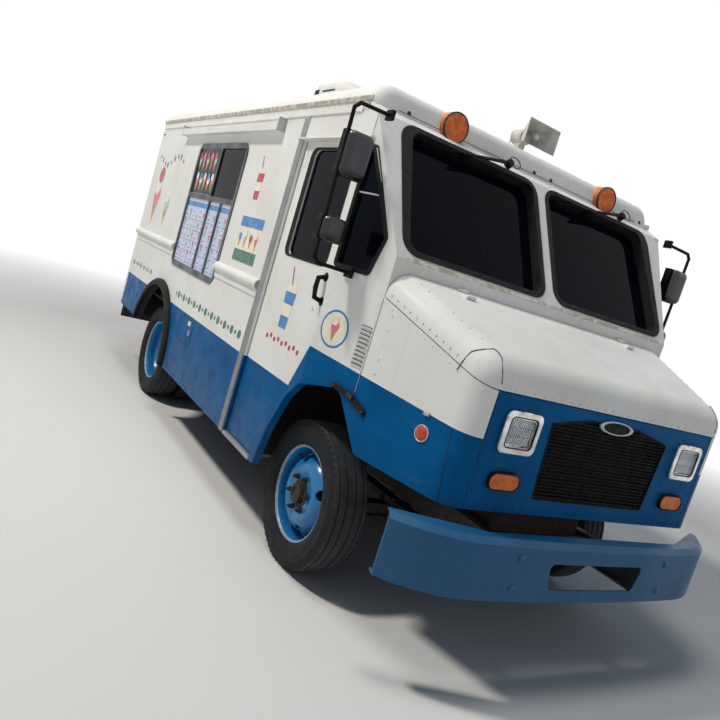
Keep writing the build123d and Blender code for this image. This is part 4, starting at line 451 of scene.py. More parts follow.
def wall(side, face=HALF):
    """The place function of a level side panel, from its distance behind the axle and its height."""
    return lambda s, z, out=0.0: at(side * (face + out), s, z)


def rect(a0, b0, a1, b1):
    return [(a0, b0), (a1, b0), (a1, b1), (a0, b1)]


def along(a, b, pitch):
    """Points from a to b at about the given pitch, both ends included."""
    a, b = Vector(a), Vector(b)
    n = max(1, round((b - a).length / pitch))
    return [a.lerp(b, i / n) for i in range(n + 1)]


def rivet_rows(shape, place, normal, rows, slot=0):
    """Rows of rivets on a panel, each from one spot to another with a pitch, radius and height."""
    for a0, b0, a1, b1, pitch, radius, height in rows:
        shape.domes(along(place(a0, b0), place(a1, b1), pitch), normal, radius, height, 8, slot)


side_paint = body_paint("white_and_blue_side_enamel", below_level)
white_paint = body_paint("white_body_enamel")
# Flat black that stands in for shade: painted shade on the inner edges of the rear wheel arches and on the
# floor deck's sides and underside.
shade_black = surface("painted_shade_black", "101010", "1B1A19", (0.8, 0.95), patch_mm=80, dust=0.15)
weathered = surface("weathered_drip_rail_aluminium", "CFCCC1", "A9A394", (0.5, 0.8), metallic=0.1,
                    patch_mm=45, bump_mm=0.2)
for name in ("side_wall_kerb", "side_wall_driver"):
    for face in dress(name, side_paint, shade_black, bevel=0.0015).data.polygons:
        # Faces round each rear wheel arch that do not face sideways take the black as painted shade in the
        # arch.
        y, z = face.center.y - at(0, 3.075, 0).y, face.center.z - 0.44
        if math.hypot(y, z) < 0.572 and abs(face.normal.x) < 0.5:
            face.material_index = 1
for name in ("roof_shell", "rear_frame", "rear_door_left", "rear_door_right", "awning_box"):
    dress(name, white_paint, bevel=0.002)
rail = Shape()
rivets = Shape()
for side in (-1, 1):
    for i in range(142):
        s = 0.2 + i * 0.03
        rail.panel(wall(side, 1.1905), rect(s, 2.517, s + 0.024, 2.533), 0, 0.004)
    rail.block(at(side * 1.176, 0.187, 2.508), at(side * 1.1935, 4.44, 2.514), 0)
    rail.block(at(side * 1.176, 0.187, 2.512), at(side * 1.1915, 4.44, 2.537), 1)
    rivet_rows(rivets, wall(side), (side, 0, 0), (
        (0.22, 2.49, 4.42, 2.49, 0.075, 0.006, 0.003), (0.98, 2.425, 4.42, 2.425, 0.075, 0.0065, 0.0035),
        (0.98, 0.44, 2.38, 0.44, 0.06, 0.0065, 0.0035), (3.72, 0.61, 4.42, 0.61, 0.06, 0.0065, 0.0035),
        (4.425, 0.62, 4.425, 2.40, 0.075, 0.0065, 0.0035), (0.965, 0.46, 0.965, 2.40, 0.075, 0.004, 0.002)))
rail.make("roof_drip_rail", "truck", weathered, white_paint, bevel=0.001)
rivets.make("body_rivets", "truck", side_paint)

# Front shell of the cab: pressed panels riveted together, with a rolled white pillar beside each
# windscreen, black rubber round the glass that also lines each recess as painted shade, and a louvred outlet
# above the wheel on each side.
TAPER = 0.26
TAPER_START = 0.075
RAKE = math.atan(0.375 / 0.64)
SCREEN_R = 0.085
SCREEN_FOOT = (-0.245, 1.77)


def side_normal(side, s):
    beta = math.atan(TAPER) if s < TAPER_START else 0.0
    return Vector((side * math.cos(beta), -math.sin(beta), 0))


def on_side(side, s, z, out=0.0):
    """A point on the body's side, which tapers in ahead of the cab door."""
    x = HALF + TAPER * min(s - TAPER_START, 0.0)
    return at(side * x, s, z) + side_normal(side, s) * out


def flank(side):
    """The place function of the tapering side."""
    return lambda s, z, out=0.0: on_side(side, s, z, out)


def on_nose(x, z, out=0.0):
    return at(x, -0.985 - out, z)


def on_screen(x, v, out=0.0):
    """A point on the raked windscreen plane, v up the glass and out towards the front."""
    s = SCREEN_FOOT[0] + v * math.sin(RAKE) - out * math.cos(RAKE)
    return at(x, s, SCREEN_FOOT[1] + v * math.cos(RAKE) + out * math.sin(RAKE))


def rounded(points, radius, steps=6):
    """A closed flat outline with its corners rounded."""
    points = [Vector((p[0], p[1], 0)) for p in points]
    out = []
    for i, p in enumerate(points):
        a, b = points[i - 1], points[(i + 1) % len(points)]
        u, v = (a - p).normalized(), (b - p).normalized()
        half = math.acos(max(-1, min(1, u.dot(v)))) / 2
        reach = radius / math.tan(half)
        centre = p + (u + v).normalized() * (radius / math.sin(half))
        start, end = (p + u * reach - centre).normalized(), (p + v * reach - centre).normalized()
        out += [centre + start.slerp(end, k / steps) * radius for k in range(steps + 1)]
    return out


def screen_ring(side, grow):
    foot, head = -grow, 0.7418 + grow
    flat = [(0.044 - grow, foot), (1.027 + grow, foot), (0.989 + grow, head), (0.044 - grow, head)]
    return rounded([(side * x, v) for x, v in flat], SCREEN_R + grow)


screen_normal = on_screen(0, 0, 1) - on_screen(0, 0, 0)
cab_paint = body_paint("white_and_blue_cab_enamel", below_slope)
nose_paint = body_paint("white_and_blue_nose_enamel", below_nose)
black_rubber = surface("aged_black_rubber", "0D0D0E", "191919", (0.6, 0.85), patch_mm=40,
                       bump_mm=0.15, specular=0.2)
black_gap = surface("dark_gap_shadow_paint", "0B0B0C", "141414", (0.8, 0.95), patch_mm=60)
dress("cab_front", cab_paint, bevel=0.002)
dress("nose_shell", nose_paint, bevel=0.002)
dress("hood_lid", white_paint, bevel=0.002)
seal_and_recess_shade = Shape()
louvre = Shape()
front_rivets = Shape()
header = Shape()
for side in (-1, 1):
    # Black rubber runs from the glass out to the face, lining the full depth of each windscreen recess over
    # its reveal walls: the seal, and painted shade in the recess.
    seal_and_recess_shade.ring(on_screen, screen_ring(side, -0.0005), screen_ring(side, -0.02), 0.001, 0.068, 0)
    wide = [(0.032, -0.012), (1.05, -0.012), (1.046, 0.752), (0.032, 0.752)]
    flange = rounded([(side * x, v) for x, v in wide], SCREEN_R + 0.012)
    seal_and_recess_shade.ring(on_screen, flange, screen_ring(side, -0.004), 0.0615, 0.0675, 0)
    place = flank(side)
    for i in range(10):
        z = 1.19 + i * 0.0215
        louvre.prism([place(-0.305, z), place(-0.235, z), place(-0.235, z + 0.013, 0.009),
                      place(-0.305, z + 0.013, 0.009)], (0, 0, 0.003), 0)
        louvre.panel(place, rect(-0.305, z + 0.0125, -0.235, z + 0.019), 0.0008, 0.0014, 1)
    rivet_rows(front_rivets, place, side_normal(side, 0), (
        (-0.44, 0.822, -0.84, 0.822, 0.05, 0.006, 0.0028), (-0.30, 1.58, -0.30, 1.10, 0.05, 0.0055, 0.0025),
        (-0.335, 1.54, -0.84, 1.365, 0.06, 0.0055, 0.0025), (0.055, 1.25, 0.055, 1.6, 0.06, 0.005, 0.003)))
    rivet_rows(front_rivets, on_nose, (0, -1, 0), (
        (side * 0.79, 0.83, side * 0.79, 1.10, 0.05, 0.0065, 0.004),))
    header.tube([place(0.074, 2.30), place(0.074, 2.445)], 0.0015, 6, 0)
rivet_rows(front_rivets, on_nose, (0, -1, 0), ((-0.8, 0.815, 0.8, 0.815, 0.06, 0.007, 0.004),))
for x in (-0.99, -0.04, 0.106, 0.99):
    header.turned(on_screen(x, 0.82, 0.0605), screen_normal,
                  [(0, 0.013), (0.004, 0.012), (0.005, 0.008), (0.003, 0.0)], 20, 0)
header.tube([at(-1.02, 0.1848, 2.517), at(1.02, 0.1848, 2.517)], 0.0018, 6, 0)
header.domes(along(at(-1.0, 0.185, 2.53), at(1.0, 0.185, 2.53), 0.1), (0, -1, 0), 0.005, 0.0025, 8, 2)
header.panel(on_screen, rect(-1.02, -0.045, 1.02, -0.027), 0.0615, 0.0655, 1)
seal_and_recess_shade.make("windscreen_seals_and_recess_shade", "truck", black_rubber, bevel=0.002)
header.make("header_grommets_and_cowl_strip", "truck", black_gap, weathered, white_paint)
louvre.make("side_louvres", "truck", white_paint, black_gap)
front_rivets.make("cab_rivets", "truck", nose_paint)

# Glass: laminated panes set in rubber, near black as painted shade for the dark inside. Each quarter
# window beside the driver has a rubber frame with a bright strip in front and an aluminium bar across.
QUARTER = [(0.068, 1.65), (0.068, 2.262), (0.032, 2.262), (-0.22, 1.832), (-0.165, 1.65)]


def inset(points, amount):
    """A convex flat outline with every side moved in (or out, if negative)."""
    points = [Vector((p[0], p[1])) for p in points]
    n = len(points)
    area = sum(points[i].x * points[(i + 1) % n].y - points[(i + 1) % n].x * points[i].y for i in range(n))
    turn = 1 if area > 0 else -1
    lines = []
    for i in range(n):
        a, b = points[i], points[(i + 1) % n]
        ahead = (b - a).normalized()
        lines.append((a + Vector((-ahead.y, ahead.x)) * turn * amount, ahead))
    out = []
    for i in range(n):
        (p, u), (q, v) = lines[i - 1], lines[i]
        k = ((q - p).x * v.y - (q - p).y * v.x) / (u.x * v.y - u.y * v.x)
        out.append(p + u * k)
    return out


# The panes are coloured near black and pass almost no light: painted shade standing in for the dark inside
# behind them.
glass = blank("near_black_glass_painted_shade")
film = noise(glass, 300, low=0.45, high=0.7)
principled(glass, {
    "Base Color": mixed(glass, film, linear("101A26"), linear("172230")), "Transmission Weight": 0.75,
    "IOR": 1.11, "Roughness": spread(glass, film, 0, 1, 0.015, 0.05),
})
aluminium = surface("dull_mill_aluminium", "B4B5B6", "A6A7A8", (0.35, 0.5), metallic=0.6, patch_mm=160,
                    grain_mm=1.5, bump_mm=0.04)
for name in ("cab_glass", "door_glass_kerb", "door_glass_driver", "rear_glass_left", "rear_glass_right",
             "serving_glass"):
    dress(name, glass)
quarter = Shape()
for side in (-1, 1):
    place = flank(side)
    wide = [(0.083, 1.635), (0.083, 2.277), (0.008, 2.277), (-0.232, 1.84), (-0.18, 1.635)]
    quarter.ring(place, rounded(wide, 0.03), rounded(QUARTER, 0.0165), -0.001, 0.005, 1)
    quarter.ring(place, rounded(inset(QUARTER, 0.0005), 0.016), rounded(inset(QUARTER, 0.009), 0.0075),
                 -0.03, 0.004, 1)
    quarter.panel(place, [(0.008, 2.262), (0.014, 2.262), (-0.082, 2.1), (-0.088, 2.1)], 0.004, 0.008, 0)
    front = 0.038 - (2.262 - 2.035) * math.tan(RAKE)
    quarter.panel(place, rect(0.06, 2.03, front, 2.038), -0.018, -0.006, 0)
quarter.make("quarter_window_frames", "truck", aluminium, black_rubber, bevel=0.001)

# Front lamps: square sealed-beam headlamps in bright plated bezels, long amber turn signals in
# rubber surrounds, and round amber flashers on the header, each with a ribbed plastic lens.
LAMP_Z = 1.175
SIGNAL_Z = 0.943


def soft_rect(x, z, half_width, half_height, radius, steps=5):
    """A rectangle with rounded corners round a centre."""
    return rounded(rect(x - half_width, z - half_height, x + half_width, z + half_height), radius, steps)


bright = surface("bright_plated_bezel", "D8D9DA", "B9B9B6", (0.08, 0.2), metallic=1.0, patch_mm=50,
                 bump_mm=0.02)
amber = surface("ribbed_amber_plastic", "E8720F", "C65A08", (0.15, 0.3), patch_mm=40, bump_mm=0.05)
lens = blank("headlamp_lens_glass")
film = noise(lens, 60, low=0.4, high=0.7)
principled(lens, {
    "Base Color": mixed(lens, film, linear("DDE3E6"), linear("C4CCD0")), "Transmission Weight": 0.55,
    "IOR": 1.49, "Roughness": spread(lens, film, 0, 1, 0.05, 0.16),
})
dress("headlamps", bright, bevel=0.004)
dress("amber_lamps", amber, bevel=0.004)
lamps = Shape()
for cx in (-0.632, 0.632):
    for i in range(14):
        x = cx - 0.075 + i * 0.0108
        lamps.prism([on_nose(x, LAMP_Z - 0.06, 0.003), on_nose(x + 0.0054, LAMP_Z - 0.06, 0.0065),
                     on_nose(x + 0.0108, LAMP_Z - 0.06, 0.003)], (0, 0, 0.12), 0)
    for z in (LAMP_Z - 0.02, LAMP_Z + 0.02):
        lamps.block(on_nose(cx - 0.075, z - 0.0015, 0.008), on_nose(cx + 0.075, z + 0.0015, 0.002), 0)
    lamps.block(on_nose(cx - 0.03, LAMP_Z + 0.085, 0.026), on_nose(cx + 0.03, LAMP_Z + 0.1, 0.0), 1)
    bezel, hole = soft_rect(cx, LAMP_Z, 0.108, 0.093, 0.032), soft_rect(cx, LAMP_Z, 0.081, 0.068, 0.022)
    lamps.ring(on_nose, bezel, hole, 0.018, 0.024, 1)
    lamps.ring(on_nose, soft_rect(cx, LAMP_Z, 0.087, 0.074, 0.024), hole, 0.0185, 0.0249, 4)
    lamps.ring(on_nose, soft_rect(cx, LAMP_Z, 0.113, 0.098, 0.036), bezel, 0.0, 0.002, 4)
    pad = soft_rect(cx, SIGNAL_Z, 0.096, 0.043, 0.042, 6)
    lamps.ring(on_nose, pad, soft_rect(cx, SIGNAL_Z, 0.09, 0.036, 0.034, 6), 0.0005, 0.0215, 2)
    for i in range(17):
        x = cx - 0.072 + i * 0.009
        lamps.prism([on_nose(x - 0.003, SIGNAL_Z - 0.03, 0.0178), on_nose(x, SIGNAL_Z - 0.03, 0.0195),
                     on_nose(x + 0.003, SIGNAL_Z - 0.03, 0.0178)], (0, 0, 0.06), 3)
for x in (-0.655, 0.655):
    eye = at(x, 0.147, 2.555)
    lamps.turned(eye, (0, -1, 0), [(-0.012, 0.0852), (0.004, 0.0852), (0.004, 0.079), (-0.002, 0.077)], 48, 4)
    for u, v in ((i * 0.0135, j * 0.0135) for i in range(-5, 6) for j in range(-5, 6)):
        if math.hypot(u, v) < 0.072:
            outline = rect(u - 0.0062, v - 0.0062, u + 0.0062, v + 0.0062)
            base = [eye + Vector((a, 0.0005, b)) for a, b in outline]
            lamps.add(base + [eye + Vector((u, -0.0058, v))], [(0, 1, 4), (1, 2, 4), (2, 3, 4), (3, 0, 4)], 3)
lamps.make("lamp_lenses_and_bezels", "truck", lens, bright, black_rubber, amber, chassis_black, bevel=0.001)

# Side markers: a round orange reflector in an aluminium rim on each side of the nose, and small
# lamps on the fender and at the rear of the roof edge.
red_lens = surface("ribbed_red_plastic", "A8281C", "8A1E16", (0.15, 0.3), patch_mm=40, bump_mm=0.05)
orange_lens = surface("orange_reflector_plastic", "C8431C", "A83412", (0.2, 0.35), patch_mm=20, bump_mm=0.05)
markers = Shape()
for side in (-1, 1):
    normal = side_normal(side, -0.76)
    spot = on_side(side, -0.761, 1.042)
    markers.turned(spot, normal, [(0, 0.04), (0.006, 0.04), (0.008, 0.037), (0.006, 0.034)], 36, 1)
    markers.turned(spot, normal, [(0.005, 0.034), (0.0085, 0.03), (0.01, 0.018), (0.0105, 0.0)], 36, 0)
    for s, z, slot in ((-0.758, 1.133, 2), (4.36, 2.39, 3)):
        out = side_normal(side, s)
        ahead = Vector((0, 0, 1)).cross(out)
        outline = rect(-0.016, -0.008, 0.016, 0.008)
        corners = [on_side(side, s, z) + ahead * a + Vector((0, 0, b)) for a, b in outline]
        markers.prism(corners, out * 0.012, slot)
markers.make("side_reflectors_and_markers", "truck", orange_lens, aluminium, aluminium, red_lens,
             bevel=0.0015)

# Rear step bumper: a folded steel channel on the rails' ends, ribbed on top for the foot, with
# round red lamps set in rubber grommets in four punched holes, and two holes for a plate.
STEP_INSIDE, STEP_SKIN, STEP_BACK = 4.397, 4.562, 4.57
STEP_FOOT, STEP_TOP = 0.43, 0.58
TAIL_Z = 0.509
# The half width of the panel round each hole, and the hole's radius.
LAMP_HOLE = (0.065, 0.056)
PLATE_HOLE = (0.01, 0.0035)
GROMMET = [(0, 0.0575), (0.0062, 0.0575), (0.0064, 0.0565), (0.0064, 0.0525), (0.005, 0.0515), (0, 0.0515)]
TAIL_LENS = [(0, 0.0515), (0.003, 0.0505), (0.0055, 0.042), (0.0068, 0.024), (0.007, 0)]


def behind(s):
    """The place function of a level panel that faces the rear."""
    return lambda x, z, out=0.0: at(x, s + out, z)


for face in dress("tail_lamps", red_lens, chassis_black, bevel=0.003).data.polygons:
    face.material_index = 0 if face.normal.y > 0.5 else 1
step = Shape()
step.block(at(-1.12, STEP_INSIDE, STEP_TOP), at(1.12, STEP_BACK, 0.588), 0)
for x0, x1 in ((-1.12, -1.115), (-0.855, -0.0989), (-0.0789, 0.0789), (0.0989, 0.855), (1.115, 1.12)):
    step.block(at(x0, STEP_SKIN, STEP_FOOT), at(x1, STEP_BACK, STEP_TOP), 0)
for x in (-0.402, 0.402):
    step.block(at(x - 0.03, STEP_INSIDE, 0.48), at(x + 0.03, STEP_SKIN, STEP_TOP), 0)
for x, (wide, r) in ((-1.05, LAMP_HOLE), (-0.92, LAMP_HOLE), (-0.0889, PLATE_HOLE), (0.0889, PLATE_HOLE),
                     (0.92, LAMP_HOLE), (1.05, LAMP_HOLE)):
    cell = rounded(rect(x - wide, STEP_FOOT, x + wide, STEP_TOP), 0.0002, 9)
    step.ring(behind(STEP_SKIN), cell, soft_rect(x, TAIL_Z, r, r, r * 0.998, 9), 0, 0.008, 0)
    if r == LAMP_HOLE[1]:
        step.turned(at(x, 4.563, TAIL_Z), (0, 1, 0), GROMMET, 40, 1, closed=True)
        step.turned(at(x, 4.5621, TAIL_Z), (0, 1, 0), TAIL_LENS, 40, 2)
for k in range(9):
    step.block(at(-1.1, 4.42 + 0.016 * k, 0.588), at(1.1, 4.424 + 0.016 * k, 0.5895), 0)
made = step.make("rear_step_bumper", "truck", chassis_black, black_rubber, red_lens)
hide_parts("rear_bumper")

# Grille: an expanded black mesh behind level bars, riveted into the nose in front of the radiator,
# with a plain oval plate at the top.
GRILLE_FOOT, GRILLE_BEND, GRILLE_TOP = 0.873, 1.247, 1.296


def grille_half(z):
    """Half width of the grille's opening at a height."""
    if z > GRILLE_BEND:
        return 0.44 - (z - GRILLE_BEND) / 0.049 * 0.26
    return 0.41 + (z - GRILLE_FOOT) / 0.374 * 0.03


black_plastic = surface("matte_black_grille_paint", "060709", "0C0D10", (0.45, 0.7), patch_mm=50,
                        specular=0.12)
dress("grille", black_plastic)
mesh = Shape()
for i in range(1, 25):
    z = GRILLE_FOOT + i * 0.0172
    if z < 1.29:
        w = grille_half(z) - 0.008
        mesh.block(on_nose(-w, z - 0.0022, -0.004), on_nose(w, z + 0.0022, 0.0), 0)
for i in range(-16, 17):
    x = i * 0.0252
    top = 1.29 if abs(x) < 0.18 else GRILLE_BEND + (0.44 - abs(x)) / 0.26 * 0.049
    mesh.block(on_nose(x - 0.0016, 0.876, -0.006), on_nose(x + 0.0016, top - 0.004, -0.002), 0)
lip = [(-0.44, GRILLE_BEND), (-0.18, GRILLE_TOP), (0.18, GRILLE_TOP), (0.44, GRILLE_BEND),
       (0.41, GRILLE_FOOT), (-0.41, GRILLE_FOOT)]
opening = [(x * 0.985, 1.085 + (z - 1.085) * 0.97) for x, z in lip]
mesh.ring(on_nose, rounded(lip, 0.012, 3), rounded(opening, 0.012, 3), 0.0, 0.004, 0)
centre = on_nose(0, 1.281, 0.001)
for profile, slot in (([(0, 1.0), (0.8, 1.0), (1.0, 0.95), (1.0, 0.84), (0.8, 0.8)], 1),
                      ([(0.8, 0.81), (0.75, 0.0)], 0)):
    plate_from = len(mesh.points)
    mesh.turned(centre, (0, -1, 0), profile, 40, slot)
    for p in mesh.points[plate_from:]:
        p.x = centre.x + (p.x - centre.x) * 0.126
        p.z = centre.z + (p.z - centre.z) * 0.034
        p.y = centre.y + (p.y - centre.y) * 0.011
mesh.make("grille_mesh_and_plate", "truck", black_plastic, aluminium, angle=30)
core = Shape()
core.block(at(-0.6, -0.90, 0.80), at(0.6, -0.84, 1.32), 0)
for i in range(54):
    core.block(at(-0.41, -0.903, 0.862 + i * 0.0085), at(0.41, -0.8995, 0.8645 + i * 0.0085), 1)
core.make("radiator_core", "truck", black_gap, black_plastic)

# Front bumper: heavy pressed steel, painted blue and dulled by dust, with a rolled top flange,
# four round-headed bolts and a tow slot.
bumper_blue = surface("dull_blue_bumper_enamel", "145682", "19567D", (0.35, 0.55), patch_mm=300, grain_mm=5,
                      bump_mm=0.15, dust=0.12, specular=0.3)
BOLT_HEAD = [(0, 0.0), (0, 0.02), (0.003, 0.02), (0.005, 0.017), (0.0095, 0.011), (0.011, 0.0)]
dress("front_bumper", bumper_blue, bevel=0.002)
bolts = Shape()
for side in (-1, 1):
    for z in (0.51, 0.655):
        bolts.turned(at(side * 0.535, -1.1525, z), (0, -1, 0), BOLT_HEAD, 20, 0)
    for x in (0.86, 0.93):
        bolts.turned(at(side * x, -1.143 + (x - 0.72) * 0.36, 0.69), (side * 0.35, -0.94, 0),
                     [(-0.004, 0.009), (0.0065, 0.009), (0.0065, 0.0)], 16, 1)
bolts.make("bumper_bolts", "truck", bumper_blue, black_gap)

# Hood fittings: strap hinges at the cowl, a rubber latch over the seam on each side, and rivets
# and seams where the corner caps are set into the clamshell and the nose.
# The rivet heads are painted a grey a little darker than the body's white, so that they show as darker dots.
rivet_paint = surface("greyer_rivet_heads", "D2D2CD", "B5B4AE", (0.5, 0.7), patch_mm=20,
                      grain_mm=1, bump_mm=0.05)
# Each row is a point on the kerb side's clamshell (x, s, z) and the way its surface faces.
CAP = (((0.949, -0.834, 1.366), (0.95, -0.28, 0.1)), ((0.943, -0.846, 1.41), (0.93, -0.31, 0.18)),
       ((0.921, -0.854, 1.46), (0.79, -0.38, 0.48)), ((0.888, -0.876, 1.481), (0.56, -0.4, 0.72)),
       ((0.839, -0.894, 1.497), (0.27, -0.38, 0.88)), ((0.829, -0.917, 1.488), (0.19, -0.51, 0.84)),
       ((0.824, -0.94, 1.472), (0.15, -0.64, 0.75)), ((0.828, -0.973, 1.422), (0.21, -0.9, 0.38)),
       ((0.819, -0.984, 1.369), (0.06, -1.0, 0.0)))
CREASE = (((0.958, -0.403, 1.673), (0.17, -0.37, 0.91)), ((0.918, -0.577, 1.61), (0.17, -0.37, 0.91)),
          ((0.876, -0.744, 1.551), (0.27, -0.38, 0.88)), ((0.839, -0.894, 1.497), (0.27, -0.38, 0.88)))
dress("side_latches", black_rubber, bevel=0.003)
catches = Shape()
seams = Shape()
nose_seams = Shape()
for side in (-1, 1):
    normal = side_normal(side, -0.3)
    pins = [on_side(side, -0.18, 1.066, 0.014), on_side(side, -0.40, 1.002, 0.014)]
    catches.domes(pins, normal, 0.009, 0.006, 12, 0)
    catches.panel(flank(side), [(-0.325, 1.035), (-0.285, 1.045), (-0.285, 1.068), (-0.325, 1.058)],
                  0.012, 0.024, 0)
    catches.panel(flank(side), rect(-0.3185, 1.072, -0.3155, 1.56), 0.0004, 0.0039, 1)
    catches.block(at(side * 0.646 - 0.03, -0.42, 1.674), at(side * 0.646 + 0.03, -0.352, 1.69), 2)
    for row, pitch in ((CAP, 0.04), (CREASE, 0.07)):
        rows = [(at(side * p[0], p[1], p[2]), Vector((side * n[0], n[1], n[2])).normalized()) for p, n in row]
        if row is CAP:
            seams.tube([p + n * 0.0022 for p, n in rows], 0.0024, 6, 1)
        for (p, n), (q, m) in zip(rows, rows[1:]):
            for spot in along(p, q, pitch)[:-1]:
                seams.domes([spot + (n + m) * 0.0005], n + m, 0.0045, 0.0022)
    for k in range(11):
        s = -0.36 - k * 0.045
        seams.domes([on_side(side, s, 1.37 + 0.34 * (s + 0.985))], normal, 0.0045, 0.0022)
    nose_seams.tube([at(side * 0.9305, -0.9, 1.115), at(side * 0.9215, -0.919, 0.95),
                     at(side * 0.9155, -0.93, 0.8)], 0.0018, 6, 1)
    nose_seams.tube([on_nose(side * 0.813, 1.33), on_nose(side * 0.813, 0.80)], 0.0018, 6, 1)
    rivet_rows(nose_seams, flank(side), normal, ((-0.40, 1.49, -0.40, 1.20, 0.08, 0.0055, 0.003),))
front_edge = along(on_nose(-0.79, 1.357, -0.001), on_nose(0.79, 1.357, -0.001), 0.06)
seams.domes(front_edge, (0, -1, 0), 0.0055, 0.003)
seams.make("hood_corner_seams_and_rivets", "hood", rivet_paint, black_gap)
nose_seams.make("nose_corner_seams", "truck", rivet_paint, black_gap)
catches.make("hood_latches_and_straps", "truck", chassis_black, aluminium, white_paint, bevel=0.001)

# Wipers: black steel arms with rubber blades, parked along the top of each windscreen, with a
# washer hose looped to each arm.
dress("wipers", black_plastic, bevel=0.0015)
arms = Shape()
for x in (-0.269, 0.767):
    arms.turned(on_screen(x, 0.784, 0.06), screen_normal,
                [(0, 0.026), (0.028, 0.024), (0.034, 0.018), (0.036, 0.0)], 24, 0)
    loop = []
    for k in range(22):
        t = math.radians(200 - k * 18)
        rise = k * 0.0004
        across, v = x + 0.045 + 0.042 * math.cos(t), 0.80 + 0.04 * math.sin(t) + rise
        loop.append(on_screen(across, v, 0.078 + rise))
    arms.tube(loop, 0.003, 6, 1)
    arms.tube([on_screen(x - 0.605, 0.713, 0.02), on_screen(x - 0.33, 0.717, 0.034),
               on_screen(x - 0.055, 0.713, 0.02)], 0.004, 6, 0)
arms.make("wiper_arms_and_hoses", "truck", black_plastic, black_rubber)

# Mirrors: black steel tubes on each side of the cab with a flat head above a convex one. Each
# head is a moulded shell, domed to the front, with its glass at the back.
mirror_glass = surface("silvered_mirror_glass", "C9CED2", "BFC4C8", (0.02, 0.05), metallic=1.0,
                       patch_mm=90, bump_mm=0.0)
mirror_shell = surface("dark_moulded_mirror_shell", "15181D", "1E2228", (0.25, 0.4), patch_mm=120,
                       bump_mm=0.05)
SHELL_STEPS = ((0.0, 0.0), (0.004, 0.012), (0.012, 0.021), (0.023, 0.026), (0.036, 0.029))
dress("mirrors", black_plastic, bevel=0.004)
heads = Shape()
for side in (-1, 1):
    for z0, z1, width in ((2.06, 2.28, 0.145), (1.74, 1.862, 0.13)):
        x0, x1 = 1.392 - width, 1.392
        face = rect(side * (x0 + 0.008), z0 + 0.008, side * (x1 - 0.008), z1 - 0.008)
        heads.panel(behind(-0.0105), rounded(face, 0.012, 4), 0, 0.002, 0)
        outline = rect(side * x0, z0, side * x1, z1)
        levels = []
        for inward, ahead in SHELL_STEPS:
            level = rounded(inset(outline, inward), max(0.03 - inward * 0.5, 0.008), 5)
            levels += [at(p.x, -0.078 - ahead, p.y) for p in level]
        n = len(levels) // len(SHELL_STEPS)
        faces = [(a * n + i, a * n + (i + 1) % n, (a + 1) * n + (i + 1) % n, (a + 1) * n + i)
                 for a in range(4) for i in range(n)]
        heads.add(levels, faces + [tuple(range(4 * n, 5 * n))], 1)
heads.make("mirror_glass", "truck", mirror_glass, mirror_shell)

# Sliding cab doors: flat riveted leaves with a rubber-sealed window and a black pull handle; the
# rail behind each is ribbed aluminium and the step below has a serrated edge.
DOOR_FACE = 1.162
deck_metal = surface("scuffed_deck_aluminium", "8E8F8F", "6C6B68", (0.4, 0.7), metallic=0.7,
                     patch_mm=90, bump_mm=0.2)
for name in ("cab_door_kerb", "cab_door_driver"):
    dress(name, side_paint, bevel=0.0015)
for face in dress("side_mouldings", white_paint, aluminium, bevel=0.0015).data.polygons:
    if face.center.y < at(0, 0.96, 0).y:
        face.material_index = 1
dress("step_treads", aluminium, bevel=0.001)
# The floor deck's sides and underside take the black as painted shade under the deck.
for face in dress("floor_deck", deck_metal, shade_black, bevel=0.001).data.polygons:
    face.material_index = 0 if face.normal.z > 0.5 else 1
for side, name in ((-1, "kerb"), (1, "driver")):
    out = (side, 0, 0)
    place = wall(side, DOOR_FACE)
    door = Shape()
    window = inset(rect(0.211, 1.62, 0.735, 2.256), 0.004)
    door.ring(place, rounded(rect(0.201, 1.61, 0.777, 2.266), 0.06), rounded(window, 0.05), -0.001, 0.003, 0)
    door.panel(place, rect(0.773, 1.66, 0.795, 2.215), -0.001, 0.0025, 3)
    door.tube([place(0.14, 1.435), place(0.145, 1.447, 0.045), place(0.152, 1.50, 0.05),
               place(0.159, 1.553, 0.045), place(0.164, 1.565)], 0.014, 12, 1)
    for s, z, foot, top, sides, slot in (
            (0.14, 1.435, 0.026, 0.022, 24, 1), (0.164, 1.565, 0.026, 0.022, 24, 1),
            (0.21, 1.38, 0.014, 0.008, 20, 2)):
        profile = [(0, foot), (0.0025, foot), (0.0035, top), (0.0035, 0)]
        door.turned(place(s, z, -0.001), out, profile, sides, slot)
    edge = [(0.102, 2.29), (0.102, 1.206), (0.226, 0.927), (0.434, 0.45)]
    for (s0, z0), (s1, z1) in zip(edge, edge[1:]):
        door.domes(along(place(s0, z0), place(s1, z1), 0.06)[1:-1], out, 0.0035, 0.0018, 8, 3)
    door.make("door_fittings_" + name, "cab_door_" + name, black_rubber, black_plastic, bright, side_paint,
              bevel=0.001)
    place = wall(side)
    trim = Shape()
    ledge = [place(0.05, 2.302), place(0.05, 2.306, 0.02), place(0.05, 2.314, 0.02), place(0.05, 2.322)]
    trim.prism(ledge, (0, 0.90, 0), 0)
    for s in (0.889, 0.902, 0.915, 0.928, 0.938):
        trim.block(place(s, 0.42, 0.009), place(s + 0.004, 2.44, 0.0115), 1)
    for i in range(44):
        s = 0.432 + i * 0.01
        tooth = [place(s, 0.412), place(s + 0.003, 0.412, 0.003), place(s + 0.006, 0.412)]
        trim.prism(tooth, (0, 0, 0.02), 1)
    trim.domes(along(place(0.9345, 0.45, 0.009), place(0.9345, 2.42, 0.009), 0.09), out, 0.004, 0.002, 8, 1)
    trim.make("door_rail_trim_" + name, "truck", white_paint, aluminium, bevel=0.001)

